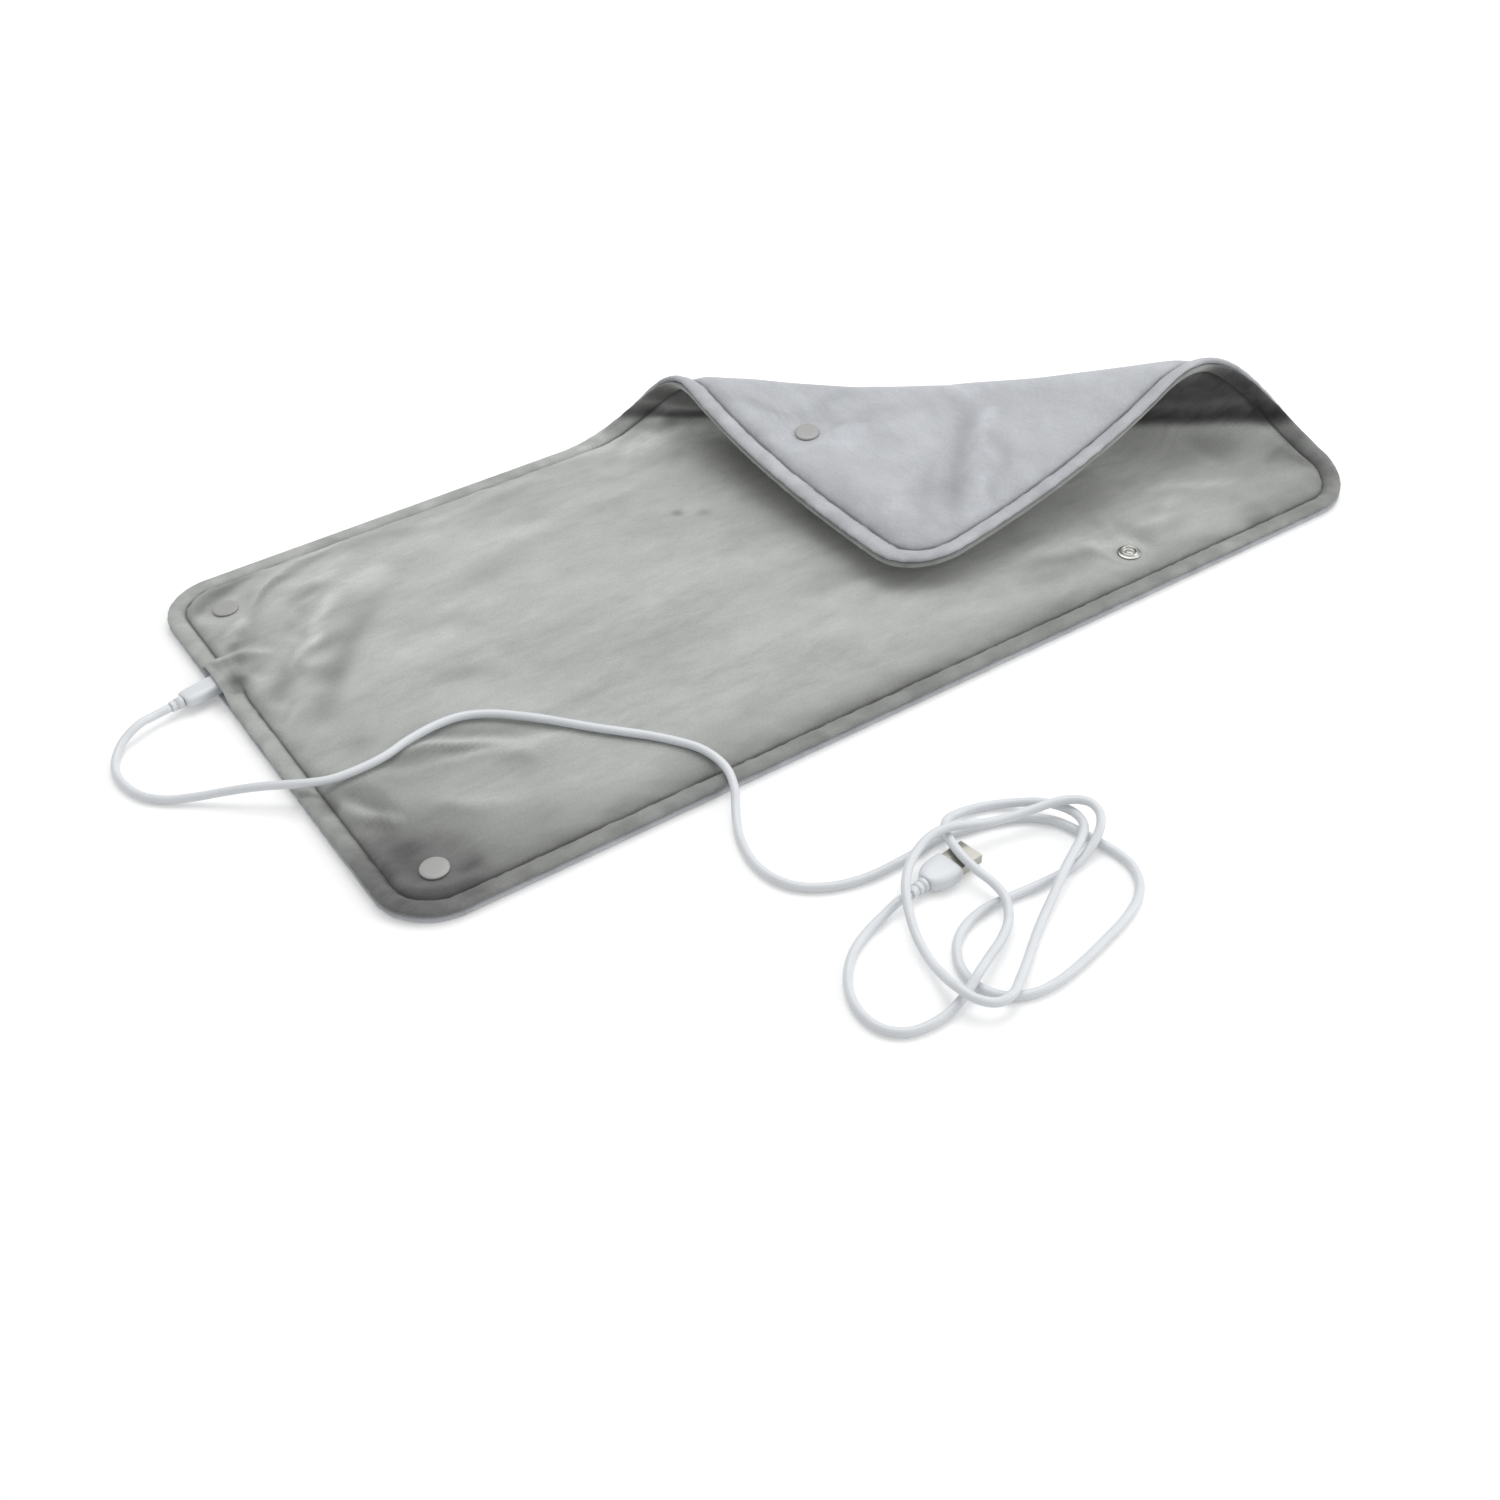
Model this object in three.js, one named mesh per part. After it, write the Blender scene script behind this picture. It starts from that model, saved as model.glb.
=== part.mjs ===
// A plush heating pad with one corner folded over and a plug-in USB lead.
// Millimetres, +Z up, +X along the pad from its socket end, the origin under the middle of the flat pad.
import * as THREE from 'three';

// The pad
const padLength = 560;
const padWidth = 300;
const cornerRadius = 30;
const borderHalf = 3.0;        // half the thickness of the sewn border
const crownHalf = 5.2;         // half the thickness of the plump middle
const crownReach = 18;         // how fast the pad swells inside the border
const stitchInset = 9.2;       // the topstitched line, in from the edge
const stitchDepth = 0.8;
const stitchWidth = 1.6;
const coverThickness = 1.6;
const seamGap = 0.3;
const edgeLip = 0.6;
const cavityInset = 14;        // the covers are sewn together outside this line
const fitGap = 0.3;
const cellSize = 42;

// The fold: a crease line, a loop whose radius changes along it, and a flap that settles on the pad
const foldTurn = THREE.MathUtils.degToRad(43.4);   // the way the corner is folded back, from +X
const foldOffset = 71.4;       // from the pad's middle to the start of the loop, at the long edge
const foldSlant = 9.6;         // how much further out the loop starts at the short edge
const foldBow = 23.1;          // and how much further out in the middle of the crease
const loopRadiusBack = 29.9;   // at the long edge
const loopRadiusSide = 60;     // at the short edge
const loopSag = 25.5;          // the loop is tighter in the middle of the crease
const flapRest = 10.9;         // from the pad's middle layer to the flap's, where it lies
const flapSettle = 146;        // the distance over which the flap flattens
const flapCreases = [40, 80];  // extra facet lines on the flap, past the loop
const hingeAngle = Math.PI / 2;
const layerSteps = 24;

// The pocket for the plug
const pocketPlace = 59;        // across the pad, from its middle
const pocketHalf = 5.7;        // half its thickness
const pocketFlat = 10;         // half of its flat width
const pocketSlope = 10;
const pocketDepth = 32;
const pocketFade = 20;

// The snaps: how far in from the short and the long edge each one is set
const snapNearEnd = 28;
const snapFarEnd = 141;
const snapFrontLeft = 27;
const snapBackLeft = 33.5;
const snapFrontRight = 28;
const snapBackRight = 32;
const snapPinch = 1.7;         // half the pad's thickness under a snap
const snapSeat = 15;           // the radius of the flat place round a snap
const snapFade = 8;
const snapCell = 8;
const snapSides = 18;
const capRadius = 6.2;
const capThickness = 1.2;
const capEdge = 0.45;
const ringRadius = 5.9;        // the flange of a socket or a stud
const flangeThickness = 0.6;
const wallOuter = 4.3;
const wallInner = 3.1;
const wallHeight = 1.7;
const crimpRadius = 1.7;
const crimpHeight = 1.1;
const knobRadius = 2.2;
const knobHeight = 1.4;

// The layers inside
const layerInset = 52;
const waddingTop = 3.1;
const waddingBottom = 1.5;
const carrierTop = -0.2;
const carrierBottom = -0.8;
const backingTop = -1.2;
const backingBottom = -3.0;
const wireRadius = 0.4;
const wireHeight = 0.75;
const wireSpacing = 30;
const wireBend = 9;
const wireStep = 4;
const wireLoopBack = 70;       // where along the crease the wire goes into the flap
const wireLoopSide = 130;      // and where it comes out again
const wireLoopReach = 48;
const leadRadius = 0.7;
const leadHeight = 0.4;
const leadGap = 4;
const cutoutEnd = 42;          // from the pad's end to the thermal cut-out
const cutoutAside = 39;        // and from the pocket's line
const cutoutLength = 13;
const cutoutRadius = 2.1;

// The socket in the pocket and the plug in it
const plugTilt = THREE.MathUtils.degToRad(10);
const socketBack = 12;         // from the pad's edge to the socket's face
const socketLength = 15;
const socketWidth = 12;
const socketThickness = 6.2;
const mouthWidth = 9;
const mouthHeight = 3.2;
const socketWall = 0.5;
const tongueWidth = 6.6;
const tongueThickness = 0.7;
const plugShellWidth = 8.3;
const plugShellHeight = 2.4;
const plugShellWall = 0.35;
const plugShellLength = 6.5;
const plugWidth = 11.6;
const plugThickness = 6.6;
const plugReach = 17;          // how far the moulded grip stands out of the pad
const gripRound = 2.4;
const gripEdge = 0.8;
const neckLength = 6.5;
const neckRadiusPlug = 3;
const neckRadiusCord = 2.6;
const neckRib = 0.5;
const neckRibs = 3;
const neckSides = 14;

// The cord and the USB-A plug
const cordDiameter = 4;
const cordSides = 6;
const cordStep = 8.5;
const floorGap = 0.05;
const closeEnough = 0.05;      // a corner this near a cut lies on it
const usbX = -100.5;
const usbY = -251.5;
const usbTurn = THREE.MathUtils.degToRad(8);
const usbHeight = 4.2;
const usbNeckLength = 9;
const usbNeckRadius = 3.1;
const usbGripLength = 15;
const usbGripWidth = 15.4;
const usbGripThickness = 7.8;
const usbGripTaper = 2.6;
const usbShellLength = 12;
const usbShellWidth = 12;
const usbShellHeight = 4.5;
const usbShellWall = 0.4;
const usbTongueThickness = 1.9;
const usbContactWidth = 1.2;
const usbContactThickness = 0.3;
const usbContactSpacing = 2.3;
const usbContactLength = 8;

const padX = padLength / 2;
const padY = padWidth / 2;
const cord = cordDiameter / 2;
const floorZ = cord + floorGap;

// The cord's route over the pad and the table: x, y and the height of its middle
const leadRoute = [
  [-320, 50.5, 6.4], [-330, 45.5, 4.2], [-337, 37, 2.3], [-340, 27, 2.1], [-339.5, 16, 2.1],
  [-336, 5, 2.1], [-329, -4, 2.2], [-318, -12, 3.4], [-306, -20.5, 6.2], [-295, -29, 9],
  [-284, -37.5, 10.7], [-274.5, -44.5, 11.7], [-265.5, -49, 12.2], [-253, -50.5, 12.6],
  [-239.5, -49.5, 12.9], [-225.5, -45.5, 13.1], [-210.5, -43.5, 13.2], [-198.5, -45, 13.3],
  [-187.5, -51, 13.3], [-178.5, -59.5, 13.3], [-169.5, -69.5, 13.3],
  [-161.5, -79.5, 13.2], [-153.5, -89.5, 13.1], [-145.5, -98.5, 12.9], [-137, -108, 12.6],
  [-129.5, -117.5, 12.1], [-123, -127.5, 11.3], [-120, -137, 10.2], [-120, -146.5, 9.2], [-123, -156, 6.9],
  [-128.5, -165, 3.4], [-134, -175, 2.1], [-138, -186, 2.1], [-140, -198, 2.1], [-138.5, -209, 2.1],
  [-134, -218, 2.1], [-126, -225, 2.1], [-116, -229.5, 2.1], [-105, -231.7, 2.1], [-94, -232, 2.1],
  [-82, -231.5, 2.1], [-68, -230.5, 2.1],
];
const loopRoute = [
  [-54, -233, 2.1], [-40, -237, 2.1], [-30, -242.5, 2.1], [-22.5, -251, 2.1], [-19, -261, 2.1],
  [-17, -271, 2.1], [-15, -281, 2.1], [-15.5, -291, 2.1], [-20, -300, 2.1], [-28, -307, 2.1],
  [-40, -312.5, 2.1], [-54, -316.5, 2.1], [-68, -320, 2.1], [-82, -322.3, 2.1], [-94, -321.5, 2.1],
  [-104, -316.5, 2.1], [-109, -308, 2.1], [-109.5, -298, 2.1], [-106, -289, 2.1], [-99.5, -281.5, 2.1],
  [-90, -276.5, 2.1], [-79, -274.5, 2.1], [-66, -275.5, 2.1], [-53, -276.8, 2.1], [-41, -277.2, 2.1],
  [-31, -276.6, 2.7], [-21.5, -273.8, 5.9], [-14.2, -269.6, 9.1], [-10.4, -264, 10.9], [-10.6, -257.8, 11.5],
  [-15, -252.4, 11.3], [-22, -248.6, 10.6], [-31, -245.8, 9.4], [-41, -243.4, 8.8], [-51, -241.2, 9.6],
  [-60, -239, 11.7], [-69, -236.9, 13.3], [-78.5, -236.6, 13], [-88, -239.5, 11.8], [-96.5, -245, 11],
  [-103.5, -252.5, 9.5], [-109, -262, 6.8], [-113.5, -273, 4.4], [-116.8, -285, 4.1], [-119.4, -297, 6.6],
  [-120.4, -307, 9.1], [-118.2, -315.2, 8.6], [-112, -320.4, 7.2], [-104, -320, 6.7], [-96.5, -315.4, 6.2],
  [-87, -308.5, 4.4], [-76.5, -300.5, 3], [-66, -293.3, 3], [-55, -286.9, 4.6], [-44, -280.4, 6.7],
  [-33, -274.4, 7.5], [-24, -269.2, 7.3], [-18, -263.5, 7], [-16, -256.5, 6.6], [-17.5, -248.5, 6],
  [-21.5, -240.3, 4.8], [-29, -232.4, 2.9], [-39.5, -226, 2.1], [-51.5, -223.6, 3], [-61, -226, 5.6],
  [-67.3, -232.5, 7.5], [-71, -241.3, 9.2], [-72.8, -250, 9.4], [-72.3, -260, 7.8], [-71.2, -269, 6.9],
  [-72.6, -278, 6.5], [-78, -286.5, 4.7], [-87, -293.3, 4.8], [-97.5, -299, 6.3], [-107.5, -304.2, 7.3],
  [-117, -308, 4.6], [-127, -310.3, 2.4], [-137, -310.8, 2.1], [-146, -308.4, 2.1], [-152.2, -302, 2.1],
  [-154.3, -292.5, 2.1], [-152.2, -281.5, 2.1], [-146, -271, 2.1], [-137, -262.6, 2.1],
  [-126, -257, 2.1], [-115.5, -254, 2.9],
];

const plush = { color: 0xa9aca9, roughness: 0.95, metalness: 0 };
const plushPale = { color: 0xc6cacd, roughness: 0.95, metalness: 0 };
const felt = { color: 0xe6e3da, roughness: 0.95, metalness: 0 };
const wireRed = { color: 0xa8443a, roughness: 0.5, metalness: 0 };
const leadWhite = { color: 0xe9eaec, roughness: 0.5, metalness: 0 };
const snapPlastic = { color: 0xa2a2a0, roughness: 0.3, metalness: 0 };
const snapSteel = { color: 0xb9babb, roughness: 0.3, metalness: 0.8 };
const whitePlastic = { color: 0xdfe3e7, roughness: 0.4, metalness: 0 };
const steel = { color: 0x9b9a92, roughness: 0.3, metalness: 0.9 };
const bluePlastic = { color: 0x4a4aa0, roughness: 0.5, metalness: 0 };
const blackPlastic = { color: 0x2b2b2d, roughness: 0.6, metalness: 0 };
const brass = { color: 0xc9a24a, roughness: 0.35, metalness: 0.9 };

const pad = new THREE.Group();

function add(name, geometry, material, parent = pad) {
  const mesh = new THREE.Mesh(geometry, new THREE.MeshStandardMaterial(material));
  mesh.name = name;
  parent.add(mesh);
  return mesh;
}

const smooth = (value, start, end) => THREE.MathUtils.smoothstep(value, start, end);

// How far a flat point lies inside the pad's rounded outline
function insetOf(u, v) {
  const across = Math.abs(u) - (padX - cornerRadius);
  const along = Math.abs(v) - (padY - cornerRadius);
  if (across > 0 && along > 0) return cornerRadius - Math.hypot(across, along);
  return cornerRadius - Math.max(across, along);
}

const snapPlaces = {
  front_left: [-padX + snapNearEnd, -padY + snapFrontLeft],
  back_left: [-padX + snapNearEnd, padY - snapBackLeft],
  front_right: [padX - snapFarEnd, -padY + snapFrontRight],
  back_right: [padX - snapFarEnd, padY - snapBackRight],
};

function pocketShare(u, v) {
  const aside = Math.abs(v - pocketPlace);
  const inside = u + padX;
  return (1 - smooth(aside, pocketFlat, pocketFlat + pocketSlope))
    * (1 - smooth(inside, pocketDepth, pocketDepth + pocketFade));
}

function snapShare(u, v) {
  let share = 0;
  for (const [x, y] of Object.values(snapPlaces)) {
    const away = Math.hypot(u - x, v - y);
    share = Math.max(share, 1 - smooth(away, snapSeat, snapSeat + snapFade));
  }
  return share;
}

// Half the pad's thickness, before stitches and snaps draw it in
function plumpHalf(u, v) {
  const past = Math.max(insetOf(u, v) - stitchInset, 0);
  const swell = 1 - Math.exp(-past / crownReach);
  return THREE.MathUtils.lerp(borderHalf + (crownHalf - borderHalf) * swell, pocketHalf, pocketShare(u, v));
}

// The height of a cover's outer face over the pad's middle layer
function outerFace(u, v) {
  const inset = insetOf(u, v);
  const seam = seamGap / 2 + edgeLip;
  const round = Math.min(Math.max(inset, 0) / borderHalf, 1);
  const edge = seam + (borderHalf - seam) * Math.sqrt(1 - (1 - round) ** 2);
  const stitch = stitchDepth * Math.exp(-(((inset - stitchInset) / stitchWidth) ** 2));
  const plain = (inset < borderHalf ? edge : plumpHalf(u, v)) - stitch;
  const pocketed = THREE.MathUtils.lerp(plain, pocketHalf, pocketShare(u, v));
  return THREE.MathUtils.lerp(pocketed, snapPinch, snapShare(u, v));
}

// The height of a cover's inner face: on the seam along the border, and one cover deep further in
function innerFace(u, v) {
  const hollow = Math.max(outerFace(u, v) - coverThickness, seamGap / 2);
  const plain = insetOf(u, v) > cavityInset + seamGap ? hollow : seamGap / 2;
  return Math.max(plain, (pocketHalf - coverThickness) * smooth(pocketShare(u, v), 0.5, 1));
}

// The fold's own directions: back over the crease, and along it
const foldWay = new THREE.Vector2(Math.cos(foldTurn), Math.sin(foldTurn));
const creaseWay = new THREE.Vector2(foldWay.y, -foldWay.x);
const creaseBack = new THREE.Vector2((foldOffset - padY * foldWay.y) / foldWay.x, padY).dot(creaseWay);
const creaseSide = new THREE.Vector2(padX, (foldOffset - padX * foldWay.x) / foldWay.y).dot(creaseWay);
const creaseShare = (along) => (along - creaseBack) / (creaseSide - creaseBack);
const bowed = (share) => 4 * share * (1 - share);

function loopStart(along) {
  const share = creaseShare(along);
  return foldOffset + foldSlant * share + foldBow * bowed(share);
}

function loopRadius(along) {
  const share = creaseShare(along);
  return THREE.MathUtils.lerp(loopRadiusBack, loopRadiusSide, share) - loopSag * bowed(share);
}

// The extra turn past half a turn that brings the flap down to its rest
function overTurn(radius) {
  let turn = 0.2;
  for (let pass = 0; pass < 8; pass += 1) {
    const drop = flapSettle * (turn - turn ** 3 / 18);
    const miss = radius * (1 + Math.cos(turn)) - drop - flapRest;
    turn += miss / (radius * Math.sin(turn) + flapSettle * (1 - turn ** 2 / 6));
  }
  return Math.max(turn, 0);
}

// Where a flat point goes when the corner is folded over; height is measured from the middle layer
function folded(u, v, height) {
  const flat = new THREE.Vector2(u, v);
  const along = flat.dot(creaseWay);
  const start = loopStart(along);
  const past = flat.dot(foldWay) - start;
  const radius = loopRadius(along);
  const extra = overTurn(radius);
  const bend = Math.PI + extra;
  const looped = Math.min(Math.max(past, 0), bend * radius);
  let turn = looped / radius;
  let way = past < 0 ? past : radius * Math.sin(turn);
  let rise = radius * (1 - Math.cos(turn));
  const straight = past - bend * radius;
  if (straight > 0) {
    for (let step = 0; step < layerSteps; step += 1) {
      const slope = Math.PI + extra * Math.exp(-(straight * (step + 0.5)) / layerSteps / flapSettle);
      way += Math.cos(slope) * straight / layerSteps;
      rise += Math.sin(slope) * straight / layerSteps;
    }
    turn = Math.PI + extra * Math.exp(-straight / flapSettle);
  }
  way += start - height * Math.sin(turn);
  rise += plumpHalf(u, v) + height * Math.cos(turn);
  return new THREE.Vector3(
    foldWay.x * way + creaseWay.x * along,
    foldWay.y * way + creaseWay.y * along,
    rise,
  );
}

// Fills the gaps between stops with even steps
function filled(stops, step) {
  const places = [];
  for (let i = 0; i + 1 < stops.length; i += 1) {
    const count = Math.max(1, Math.round((stops[i + 1] - stops[i]) / step));
    for (let k = 0; k < count; k += 1) places.push(THREE.MathUtils.lerp(stops[i], stops[i + 1], k / count));
  }
  places.push(stops[stops.length - 1]);
  return places;
}

// A flat net over a rounded rectangle: a core grid, then rings out to the edge that follow the outline
function flatNet(halfX, halfY, radius, insets, columns, rows, arcSteps) {
  const points = [];
  const triangles = [];
  const known = new Map();
  const point = (x, y) => {
    const key = `${x.toFixed(4)},${y.toFixed(4)}`;
    if (!known.has(key)) {
      known.set(key, points.length);
      points.push([x, y]);
    }
    return known.get(key);
  };
  const quad = (a, b, c, d) => {
    for (const face of [[a, b, c], [a, c, d]]) {
      if (new Set(face).size === 3) triangles.push(face);
    }
  };
  for (let i = 0; i + 1 < columns.length; i += 1) {
    for (let j = 0; j + 1 < rows.length; j += 1) {
      quad(point(columns[i], rows[j]), point(columns[i + 1], rows[j]),
        point(columns[i + 1], rows[j + 1]), point(columns[i], rows[j + 1]));
    }
  }
  const ring = (inset) => {
    const round = radius - inset;
    const loop = [];
    const corner = (x, y, start) => {
      for (let k = 0; k <= arcSteps; k += 1) {
        const turn = start + Math.PI / 2 * k / arcSteps;
        loop.push(point(x + round * Math.cos(turn), y + round * Math.sin(turn)));
      }
    };
    const coreX = halfX - radius;
    const coreY = halfY - radius;
    const inner = (list) => list.slice(1, -1);
    corner(coreX, -coreY, -Math.PI / 2);
    inner(rows).forEach((y) => loop.push(point(halfX - inset, y)));
    corner(coreX, coreY, 0);
    inner(columns).reverse().forEach((x) => loop.push(point(x, halfY - inset)));
    corner(-coreX, coreY, Math.PI / 2);
    inner(rows).reverse().forEach((y) => loop.push(point(-halfX + inset, y)));
    corner(-coreX, -coreY, Math.PI);
    inner(columns).forEach((x) => loop.push(point(x, -halfY + inset)));
    return loop;
  };
  for (let k = 0; k + 1 < insets.length; k += 1) {
    const outside = ring(insets[k]);
    const inside = ring(insets[k + 1]);
    outside.forEach((start, i) => {
      const next = (i + 1) % outside.length;
      quad(start, outside[next], inside[next], inside[i]);
    });
  }
  return { points, triangles };
}

// Cuts the net's triangles along the line where a field is zero
function sliced(net, field) {
  const { points } = net;
  const value = points.map(([u, v]) => {
    const here = field(u, v);
    return Math.abs(here) < closeEnough ? 0 : here;
  });
  const cuts = new Map();
  const cut = (a, b) => {
    const key = a < b ? `${a},${b}` : `${b},${a}`;
    if (!cuts.has(key)) {
      const share = value[a] / (value[a] - value[b]);
      cuts.set(key, points.length);
      points.push([
        THREE.MathUtils.lerp(points[a][0], points[b][0], share),
        THREE.MathUtils.lerp(points[a][1], points[b][1], share),
      ]);
      value.push(0);
    }
    return cuts.get(key);
  };
  const triangles = [];
  for (const face of net.triangles) {
    const signs = face.map((corner) => Math.sign(value[corner]));
    if (!(signs.includes(1) && signs.includes(-1))) {
      triangles.push(face);
    } else if (signs.includes(0)) {
      const i = signs.indexOf(0);
      const [a, b, c] = [face[i], face[(i + 1) % 3], face[(i + 2) % 3]];
      const middle = cut(b, c);
      triangles.push([a, b, middle], [a, middle, c]);
    } else {
      const alone = signs.reduce((sum, sign) => sum + sign, 0) > 0 ? -1 : 1;
      const i = signs.indexOf(alone);
      const [a, b, c] = [face[i], face[(i + 1) % 3], face[(i + 2) % 3]];
      const first = cut(a, b);
      const second = cut(a, c);
      triangles.push([a, first, second], [first, b, c], [first, c, second]);
    }
  }
  return { points, triangles };
}

function pastCrease(u, v) {
  const flat = new THREE.Vector2(u, v);
  return flat.dot(foldWay) - loopStart(flat.dot(creaseWay));
}
const radiusAt = (u, v) => loopRadius(new THREE.Vector2(u, v).dot(creaseWay));
const fromHinge = (u, v) => pastCrease(u, v) - hingeAngle * radiusAt(u, v);

// The same net with edges along the loop, so that every layer bends at the same lines
function creased(net) {
  let result = net;
  for (const turn of [0, Math.PI / 6, Math.PI / 3, Math.PI * 2 / 3, Math.PI * 5 / 6]) {
    result = sliced(result, (u, v) => pastCrease(u, v) - turn * radiusAt(u, v));
  }
  const loopEnd = (radius) => (Math.PI + overTurn(radius)) * radius;
  for (const past of [0, ...flapCreases]) {
    result = sliced(result, (u, v) => pastCrease(u, v) - loopEnd(radiusAt(u, v)) - past);
  }
  for (const side of [-1, 1]) result = sliced(result, (u, v) => fromHinge(u, v) - side * fitGap / 2);
  return result;
}

function part(net, side) {
  const triangles = net.triangles.filter((face) => {
    const middle = face.reduce((sum, corner) => sum + fromHinge(...net.points[corner]), 0) / 3;
    return side * middle > fitGap / 2 - closeEnough;
  });
  return { points: net.points, triangles };
}

// A closed solid between two height functions over a net, folded into place
function layer(net, top, bottom) {
  const used = [...new Set(net.triangles.flat())];
  const index = new Map(used.map((corner, i) => [corner, i]));
  const vertices = [];
  for (const face of [top, bottom]) {
    for (const corner of used) {
      const [u, v] = net.points[corner];
      vertices.push(...folded(u, v, face(u, v)).toArray());
    }
  }
  const edges = new Map();
  const faces = [];
  for (const face of net.triangles) {
    const [a, b, c] = face.map((corner) => index.get(corner));
    faces.push(a, b, c, a + used.length, c + used.length, b + used.length);
    for (const [start, end] of [[a, b], [b, c], [c, a]]) edges.set(`${start},${end}`, [start, end]);
  }
  for (const [start, end] of edges.values()) {
    if (edges.has(`${end},${start}`)) continue;
    faces.push(start, start + used.length, end + used.length, start, end + used.length, end);
  }
  const geometry = new THREE.BufferGeometry();
  geometry.setAttribute('position', new THREE.Float32BufferAttribute(vertices, 3));
  geometry.setIndex(faces);
  geometry.computeVertexNormals();
  return geometry;
}

// The pad's two covers, each in two solids that meet at the crest of the fold
const coreX = padX - cornerRadius;
const coreY = padY - cornerRadius;
const layerX = padX - layerInset;
const layerY = padY - layerInset;
const snapColumn = padX - snapFarEnd;
const coverColumns = filled(
  [-coreX, -layerX, snapColumn - snapCell, snapColumn + snapCell, layerX, coreX],
  cellSize,
);
const coverRows = filled([-coreY, -layerY, pocketPlace - pocketFlat - pocketSlope, pocketPlace - pocketFlat,
  pocketPlace + pocketFlat, layerY, coreY], cellSize);
const borderInsets = [0, edgeLip * 2, borderHalf * 1.6, stitchInset, cavityInset, cornerRadius];
const coverNet = creased(flatNet(padX, padY, cornerRadius, borderInsets, coverColumns, coverRows, 3));

const sides = [['', -1], ['_flap', 1]];
for (const [ending, side] of sides) {
  const net = part(coverNet, side);
  add(`front_cover${ending}`, layer(net, outerFace, innerFace), plush);
  add(`back_cover${ending}`, layer(net, (u, v) => -innerFace(u, v), (u, v) => -outerFace(u, v)), plushPale);
}

// The wadding, the sheet that carries the heating wire, and the backing
const layerNet = {
  points: coverNet.points,
  triangles: coverNet.triangles.filter((face) => {
    const corners = face.map((corner) => coverNet.points[corner]);
    const [u, v] = [0, 1].map((axis) => corners.reduce((sum, place) => sum + place[axis], 0) / 3);
    return Math.abs(u) < layerX && Math.abs(v) < layerY;
  }),
};
for (const [ending, side] of sides) {
  const net = part(layerNet, side);
  add(`front_wadding${ending}`, layer(net, () => waddingTop, () => waddingBottom), felt);
  add(`wire_carrier${ending}`, layer(net, () => carrierTop, () => carrierBottom), felt);
  add(`back_wadding${ending}`, layer(net, () => backingTop, () => backingBottom), felt);
}

// A path that a tube follows ring by ring
class Route extends THREE.Curve {
  constructor(points) {
    super();
    this.points = points;
  }

  getPoint(share) {
    const place = share * (this.points.length - 1);
    const i = Math.min(Math.floor(place), this.points.length - 2);
    return this.points[i].clone().lerp(this.points[i + 1], place - i);
  }

  getPointAt(share) {
    return this.getPoint(share);
  }

  getTangentAt(share) {
    const half = 0.5 / (this.points.length - 1);
    const start = this.getPoint(Math.max(share - half, 0));
    return this.getPoint(Math.min(share + half, 1)).sub(start).normalize();
  }

  getSpacedPoints(count) {
    return Array.from({ length: count + 1 }, (_, i) => this.getPoint(i / count));
  }
}

function tube(points, radius, sideCount) {
  const section = new THREE.Shape();
  for (let i = 0; i < sideCount; i += 1) {
    const turn = Math.PI * 2 * i / sideCount;
    const [x, y] = [radius * Math.cos(turn), radius * Math.sin(turn)];
    if (i === 0) section.moveTo(x, y);
    else section.lineTo(x, y);
  }
  section.closePath();
  return new THREE.ExtrudeGeometry(section, {
    steps: points.length - 1,
    extrudePath: new Route(points),
  });
}

// A flat path with its corners rounded
function rounded(corners, radius, arcSteps) {
  const path = [corners[0]];
  for (let i = 1; i + 1 < corners.length; i += 1) {
    const here = new THREE.Vector2(...corners[i]);
    const before = new THREE.Vector2(...corners[i - 1]).sub(here);
    const after = new THREE.Vector2(...corners[i + 1]).sub(here);
    const reach = Math.min(radius, before.length() / 2, after.length() / 2);
    before.setLength(reach);
    after.setLength(reach);
    for (let k = 0; k <= arcSteps; k += 1) {
      const share = k / arcSteps;
      const blend = here.clone()
        .addScaledVector(before, (1 - share) ** 2)
        .addScaledVector(after, share ** 2);
      path.push([blend.x, blend.y]);
    }
  }
  path.push(corners[corners.length - 1]);
  return path;
}

// A point on the faceted face of a layer
function onFacet(net, face, u, v) {
  for (const corners of net.triangles) {
    const [a, b, c] = corners.map((corner) => net.points[corner]);
    const area = (b[0] - a[0]) * (c[1] - a[1]) - (c[0] - a[0]) * (b[1] - a[1]);
    const shareB = ((u - a[0]) * (c[1] - a[1]) - (c[0] - a[0]) * (v - a[1])) / area;
    const shareC = ((b[0] - a[0]) * (v - a[1]) - (u - a[0]) * (b[1] - a[1])) / area;
    if (shareB < 0 || shareC < 0 || shareB + shareC > 1) continue;
    const [first, second, third] = [a, b, c].map(([x, y]) => folded(x, y, face(x, y)));
    return first.clone().multiplyScalar(1 - shareB - shareC)
      .addScaledVector(second, shareB)
      .addScaledVector(third, shareC);
  }
  return folded(u, v, face(u, v));
}

// A flat path laid on the facets, with more points where it bends
function foldedPath(path, height) {
  const result = [];
  path.forEach(([u, v], i) => {
    if (i > 0) {
      const [lastU, lastV] = path[i - 1];
      const length = Math.hypot(u - lastU, v - lastV);
      const bends = Math.max(pastCrease(u, v), pastCrease(lastU, lastV)) > 0;
      const count = bends ? Math.ceil(length / wireStep) : 1;
      for (let k = 1; k < count; k += 1) {
        result.push([THREE.MathUtils.lerp(lastU, u, k / count), THREE.MathUtils.lerp(lastV, v, k / count)]);
      }
    }
    result.push([u, v]);
  });
  return result.map(([u, v]) => onFacet(coverNet, () => height, u, v));
}

// A flat point given by its way past the hinge line and its place along the crease
function pastHinge(past, along) {
  const way = loopStart(along) + hingeAngle * loopRadius(along) + past;
  return [foldWay.x * way + creaseWay.x * along, foldWay.y * way + creaseWay.y * along];
}

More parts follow.
